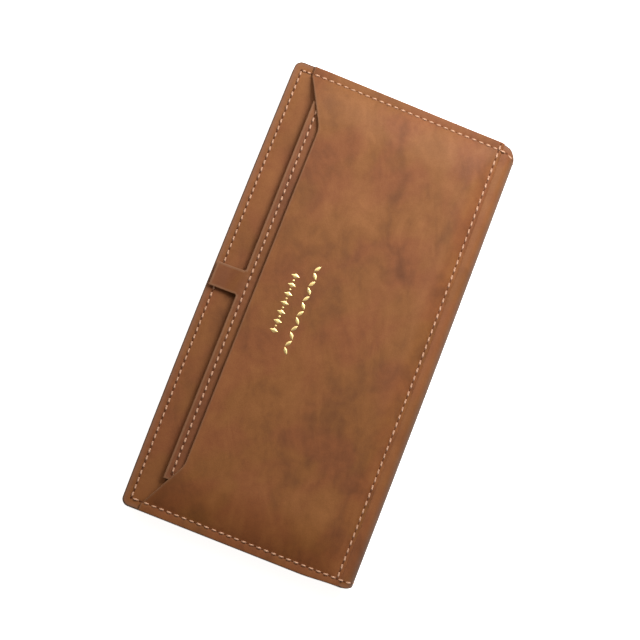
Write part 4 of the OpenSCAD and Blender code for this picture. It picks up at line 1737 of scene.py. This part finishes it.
class CardSleeve:
    """The sleeve that is drawn out of the front pocket by its tab."""

    def __init__(self, covers: Covers, finishes: Finishes, stitching: Stitching) -> None:
        """Reads the sleeve's plies from the frame.

        Args:
            covers: The shape that the pieces follow.
            finishes: Where the materials come from.
            stitching: What makes the seams.
        """
        self.covers, self.finishes, self.stitching = covers, finishes, stitching
        self.back, self.welt = Box.of("sleeve_back"), Box.of("sleeve_welt")
        self.front = Box.of("sleeve_front")
        self.ply = self.back.thickness
        self.top_y = self.back.y1 + 0.5 * MM
        self.tab_x = 2.25 * MM
        self.tab_half = 5.05 * MM
        self.fillet = 0.6 * MM
        self.tab_gap = 1.05 * MM
        self.tab_end = self.front.y1 + 0.35 * MM
        self.middle_z = self.front.z1 - self.ply / 2 + 0.2 * MM

    def height(self, x: FloatArray, y: FloatArray) -> FloatArray:
        """The front ply's middle: level, and past its top edge falling onto the cover's leather.

        Args:
            x: Places along X.
            y: Places along Y.

        Returns:
            The height of the ply's middle.
        """
        c = self.covers
        down = smooth(y, self.top_y - 1.0 * MM, self.top_y + 6.0 * MM)
        resting = c.front_face(x, y) + self.ply / 2 + self.tab_gap
        edge_lift = 0.06 * MM * np.sin(x / (14 * MM) + 0.4)
        return self.middle_z * (1 - down) + resting * down + edge_lift * (1 - down)

    def face(self, x: FloatArray, y: FloatArray) -> FloatArray:
        """The height of the front ply's outer face."""
        return self.height(x, y) + self.ply / 2

    def build(self) -> None:
        """Makes the three plies and the seam."""
        self._front_ply()
        frame_width = 4 * MM
        window = Box(self.welt.x0 + frame_width, self.welt.x1 + frame_width,
                     self.welt.y0 + frame_width, self.welt.y1 - frame_width, 0.0, 0.0)
        for node, box, material, slot, hole in (
            ("sleeve_welt", self.welt, self.finishes.inner, "inner_leather", window),
            ("sleeve_back", self.back, self.finishes.sleeve, "oiled_leather", None),
        ):
            ply = flat_ply(f"{node}_ply", box, 1.2 * MM, 2.0 * MM, window=hole)
            settle(ply, material, slot, node, "card_sleeve")
            if hole is None:
                grain_down(ply)
        self._seam()

    def _front_ply(self) -> None:
        """A T-shaped ply: the grid is a wide block, and a narrow one above it for the tab.

        The tab's half width grows by r - sqrt(r^2 - d^2) within a fillet's reach of its foot.
        """
        x0, x1, y0 = self.front.x0, self.front.x1, self.front.y0
        foot = self.tab_half + self.fillet
        left = graded(x0, self.tab_x - foot, 0.9 * MM)
        right = graded(self.tab_x + foot, x1, 0.9 * MM)
        inside = self.tab_x + graded(-foot, foot, 0.6 * MM)
        x_lines = np.unique(np.round(np.concatenate([left, inside, right]), 8))
        y_lines = np.unique(np.round(np.concatenate(
            [graded(y0, self.top_y, 0.9 * MM), graded(self.top_y, self.tab_end, 0.6 * MM)]), 8))
        base_x, y = np.meshgrid(x_lines, y_lines)
        above = np.clip(y - self.top_y, 0.0, self.fillet)
        flare = self.fillet - np.sqrt(np.maximum(self.fillet**2 - (self.fillet - above) ** 2, 0.0))
        half = self.tab_half + flare
        in_tab = np.abs(base_x - self.tab_x) <= foot + 1e-9
        x = np.where(in_tab & (y > self.top_y), self.tab_x + (base_x - self.tab_x) * half / foot, base_x)
        main = np.minimum.reduce([x - x0, x1 - x, y - y0, self.top_y - y])
        tab = np.minimum.reduce([half - np.abs(x - self.tab_x), self.tab_end - y])
        inset = np.maximum(main, tab)
        mid_y = (y[1:, 1:] + y[:-1, 1:]) / 2
        mid_x = (base_x[1:, 1:] + base_x[1:, :-1]) / 2
        cells = (mid_y < self.top_y) | (np.abs(mid_x - self.tab_x) < foot)
        z = self.height(x, y)
        z = z + self.covers.seams.furrow(x, y - self.top_y + self.covers.seams.sleeve)
        ply = Sheet("sleeve_front_ply", np.stack([x, y, z], axis=2), inset, self.ply, cells=cells).build()
        settle(ply, self.finishes.sleeve, "oiled_leather", "sleeve_front", "card_sleeve")

    def _seam(self) -> None:
        """The seam round three sides of the sleeve."""
        inset, pitch = self.covers.seams.sleeve, self.covers.seams.pitch
        x0, x1 = self.front.x0 + inset, self.front.x1 - inset
        y0, y1 = self.front.y0 + inset, self.top_y - inset
        runs = [
            Run.over(self.face, (x0, y1), (x1, y1), pitch),
            Run.over(self.face, (x0, y0), (x1, y0), pitch),
            Run.over(self.face, (x0, y0), (x0, y1), pitch),
        ]
        self.stitching.sew("sleeve_seam", runs, self.finishes, "card_sleeve", "sleeve_stitches")


# ---------------------------------------------------------------------------------------------
# Inside
# ---------------------------------------------------------------------------------------------


class Inside:
    """Everything between the covers: banknote divider, coin pocket, zip and card slots."""

    def __init__(self, covers: Covers, finishes: Finishes, stitching: Stitching) -> None:
        """Keeps what the methods share.

        Args:
            covers: The shape that the pieces follow.
            finishes: Where the materials come from.
            stitching: What makes the seams.
        """
        self.covers, self.finishes, self.stitching = covers, finishes, stitching

    def build(self) -> None:
        """Makes the plies, the zip and the slots."""
        self._back_plies()
        self._zip()
        self._slots()

    def _ply(self, node: str, material: bpy.types.Material, slot: str, body: str, radius: float,
             height: Height | None = None, window: Box | None = None) -> bpy.types.Object:
        """One ply that stands for a CAD node.

        Args:
            node: The CAD node.
            material: Its finish.
            slot: Not used.
            body: The body that it moves with.
            radius: The corners' radius.
            height: What is added to its middle surface.
            window: A rectangle left out of it.

        Returns:
            The new piece.
        """
        piece = flat_ply(f"{node}_ply", Box.of(node), radius, 1.1 * MM, height, window)
        return settle(piece, material, slot, node, body)

    def _cloth(self, node: str, body: str, height: Height | None = None) -> None:
        """A ply of lining cloth that stands for a CAD node.

        Args:
            node: The CAD node.
            body: The body that it moves with.
            height: What is added to its middle surface.
        """
        box = Box.of(node)
        piece = self._ply(node, self.finishes.lining, "lining", body, 3 * MM, height)
        box.x1 - box.x0
        box.y1 - box.y0

    def _back_plies(self) -> None:
        """The divider, the coin bag and the coin pocket's leather, with its zip window."""
        f, c = self.finishes, self.covers
        self._ply("back_stiffener", f.board, "board", "back_cover", 3 * MM)
        self._cloth("bill_divider", "back_cover")
        self._cloth("coin_bag", "back_cover")
        tapes, stitches = Box.of("zip_tapes"), Box.of("coin_stitches")
        zip_y, half_width, from_edge = tapes.centre[1], 3.5 * MM, 1.5 * MM
        window = Box(tapes.x0 + 3 * MM, tapes.x1 - 3 * MM, zip_y - half_width, zip_y + half_width, 0.0, 0.0)
        self._ply("coin_panel", f.inner, "inner_leather", "back_cover", 3 * MM, window=window)

        def top(x: FloatArray, y: FloatArray) -> FloatArray:
            """The height of the coin pocket's leather, under its stitches."""
            return np.full_like(x, stitches.z1 - 0.58 * MM)

        x = window.x1 + from_edge
        low, high = window.y0 - from_edge, window.y1 + from_edge
        runs = [Run.over(top, (-x, y), (x, y), c.seams.pitch) for y in (low, high)]
        runs += [Run.over(top, (side * x, low), (side * x, high), c.seams.pitch) for side in (-1, 1)]
        self.stitching.sew("coin_pocket_seam", runs, f, "back_cover", "coin_stitches")

    def _zip(self) -> None:
        """The tapes, the teeth as rounded pads, and the slider's own pieces."""
        f, tapes = self.finishes, Box.of("zip_tapes")
        middle, half_gap = tapes.centre[1], 2 * MM
        tooth_width, tooth_pitch = 1.1 * MM, 2.2 * MM
        for name, y0, y1 in (
            ("zip_tape_lower", tapes.y0, middle - half_gap),
            ("zip_tape_upper", middle + half_gap, tapes.y1),
        ):
            tape = flat_ply(name, Box(tapes.x0, tapes.x1, y0, y1, tapes.z0, tapes.z1), 0.3 * MM, 1.2 * MM)
            settle(tape, f.tape, "zip_tape", "zip_tapes", "back_cover")
        for side, node in ((1, "zip_teeth_upper"), (-1, "zip_teeth_lower")):
            box = Box.of(node)
            count = round((box.x1 - box.x0 - tooth_width) / tooth_pitch) + 1
            x = np.linspace(box.x0 + tooth_width / 2, box.x1 - tooth_width / 2, count)
            origin = np.stack([x, np.full_like(x, box.centre[1]), np.full_like(x, box.z0)], axis=1)
            along = np.tile([0.0, float(side), 0.0], (count, 1))
            normal = np.tile([0.0, 0.0, 1.0], (count, 1))
            outline = round_outline(box.y1 - box.y0, tooth_width, 12, 3.0)
            teeth = Pips(outline, box.thickness, 0.15 * MM).build(f"{node}_row", origin, along, normal)
            settle(teeth, f.brass, "brass", node, "back_cover")
        for node in ("zip_stops", "zip_slider", "zip_bail", "zip_pull"):
            dress(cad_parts[node], f.brass, "brass")

    def _slots(self) -> None:
        """The slots' backing and their six plies, which follow the front cover's droop."""
        f, c = self.finishes, self.covers
        self._ply("front_stiffener", f.board, "board", "front_cover", 3 * MM, c.droop)
        self._cloth("slot_backing", "front_cover", c.droop)
        for name in (f"{side}_slot_{row}" for side in ("left", "right") for row in (1, 2, 3)):
            top = Box.of(name).y1

            def creased(x: FloatArray, y: FloatArray, top: float = top) -> FloatArray:
                """The cover's droop, and a creased line along the slot's top edge."""
                return c.droop(x, y) + 0.16 * MM * ridge(y - top + 1.8 * MM, 0.6 * MM)

            grain_down(self._ply(name, f.inner, "inner_leather", "front_cover", 2.5 * MM, creased))
        box = Box.of("slot_stitches")

        def under(x: FloatArray, y: FloatArray) -> FloatArray:
            """The height of the slots' lower face, on which their seam lies."""
            return box.z1 + c.droop(x, y)

        top, from_edge = Box.of("left_slot_3").y1, 1.6 * MM
        places = (2.0 * MM + from_edge, c.half_length - 7.0 * MM - from_edge)
        runs = [
            Run.over(under, (side * x, box.y0), (side * x, top), c.seams.pitch).turned_over()
            for side in (-1, 1) for x in places
        ]
        self.stitching.sew("slot_seam", runs, f, "front_cover", "slot_stitches")


# ---------------------------------------------------------------------------------------------
# Studio
# ---------------------------------------------------------------------------------------------


@dataclass(frozen=True)
class Lamp:
    """A soft rectangular light that faces the wallet."""

    name: str
    place: tuple[float, float, float]
    size: tuple[float, float]
    power: float
    colour: Colour = (1.0, 1.0, 1.0)

    def build(self) -> None:
        """Adds the lamp, turned to the middle of the wallet."""
        data = bpy.data.lights.new(self.name, "AREA")
        data.shape, data.size, data.size_y = "RECTANGLE", *self.size
        data.energy, data.color = self.power, self.colour
        lamp = bpy.data.objects.new(self.name, data)
        lamp.location = self.place
        lamp.rotation_euler = (-Vector(self.place)).to_track_quat("-Z", "Y").to_euler()
        bpy.context.scene.collection.objects.link(lamp)


@dataclass(frozen=True)
class Studio:
    """A white floor, an even and slightly warm surround, soft lamps and the camera."""

    target: tuple[float, float, float] = (0.95 * MM, 1.2 * MM, 8.0 * MM)
    azimuth_deg: float = 245.14
    elevation_deg: float = 81.49
    roll_deg: float = 46.57
    distance: float = 852.4 * MM
    lens: float = 120.9
    surround: float = 0.24
    surround_colour: Colour = (1.0, 0.89, 0.77)
    lamps: tuple[Lamp, ...] = (
        Lamp("key", (0.29, -0.13, 0.31), (0.26, 0.26), 2.55),
        Lamp("fill", (0.3, 0.3, 0.5), (0.4, 0.4), 1.15, (1.0, 0.93, 0.86)),
    )

    def build(self) -> None:
        """Adds the floor, the lights and the camera."""
        self._floor()
        self._world()
        for lamp in self.lamps:
            lamp.build()
        self._camera()
        bpy.context.scene.view_settings.view_transform = "Standard"

    def _floor(self) -> None:
        """A wide plain floor, a little bright of itself, as a lit white table is."""
        half_size, gap = 3.0, 0.02 * MM
        corners = np.array([[-1, -1, 0], [1, -1, 0], [1, 1, 0], [-1, 1, 0]], float) * half_size
        corners[:, 2] = -gap
        floor = mesh_object("floor", corners, [np.array([[0, 1, 2, 3]])])
        shader = Shader("white_table", Coordinates.OBJECT)
        grain = shader.noise(40.0, 2.0)
        colour = shader.blend((0.93, 0.93, 0.93), (0.95, 0.95, 0.95), grain)
        floor.data.materials.append(shader.finish(
            Base_Color=colour, Roughness=0.7, Emission_Color=(1.0, 1.0, 1.0), Emission_Strength=0.85,
            Specular_IOR_Level=0.2))

    def _world(self) -> None:
        """An even and slightly warm surround."""
        world = bpy.data.worlds.new("surround")
        world.use_nodes = True
        background = world.node_tree.nodes["Background"]
        background.inputs["Color"].default_value = (*self.surround_colour, 1.0)
        background.inputs["Strength"].default_value = self.surround
        bpy.context.scene.world = world

    def _camera(self) -> None:
        """The camera looks steeply down at the target, turned about its own axis by the roll."""
        azimuth, elevation, roll = (
            math.radians(a) for a in (self.azimuth_deg, self.elevation_deg, self.roll_deg))
        back = Vector((
            math.sin(azimuth) * math.cos(elevation),
            -math.cos(azimuth) * math.cos(elevation),
            math.sin(elevation)))
        right = Vector((0, 0, 1)).cross(back).normalized()
        up = back.cross(right)
        turned_right = right * math.cos(roll) + up * math.sin(roll)
        turned_up = up * math.cos(roll) - right * math.sin(roll)
        place = Vector(self.target) + back * self.distance
        data = bpy.data.cameras.new("camera")
        data.sensor_width, data.lens = 36.0, self.lens
        data.clip_start, data.clip_end = 0.05, 10.0
        camera = bpy.data.objects.new("camera", data)
        axes = Matrix((turned_right, turned_up, back)).transposed().to_4x4()
        camera.matrix_world = Matrix.Translation(place) @ axes
        bpy.context.scene.collection.objects.link(camera)
        bpy.context.scene.camera = camera


def main() -> None:
    """Builds the wallet piece by piece, and then the studio."""
    logging.basicConfig(level=logging.INFO, format="%(name)s %(message)s")
    finishes, stitching, covers = Finishes(), Stitching(), Covers()
    OuterLeather(covers, finishes, stitching).build()
    FrontPocket(covers, finishes, stitching).build()
    CardSleeve(covers, finishes, stitching).build()
    Inside(covers, finishes, stitching).build()
    Studio().build()
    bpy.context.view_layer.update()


if __name__ == "__main__":
    main()
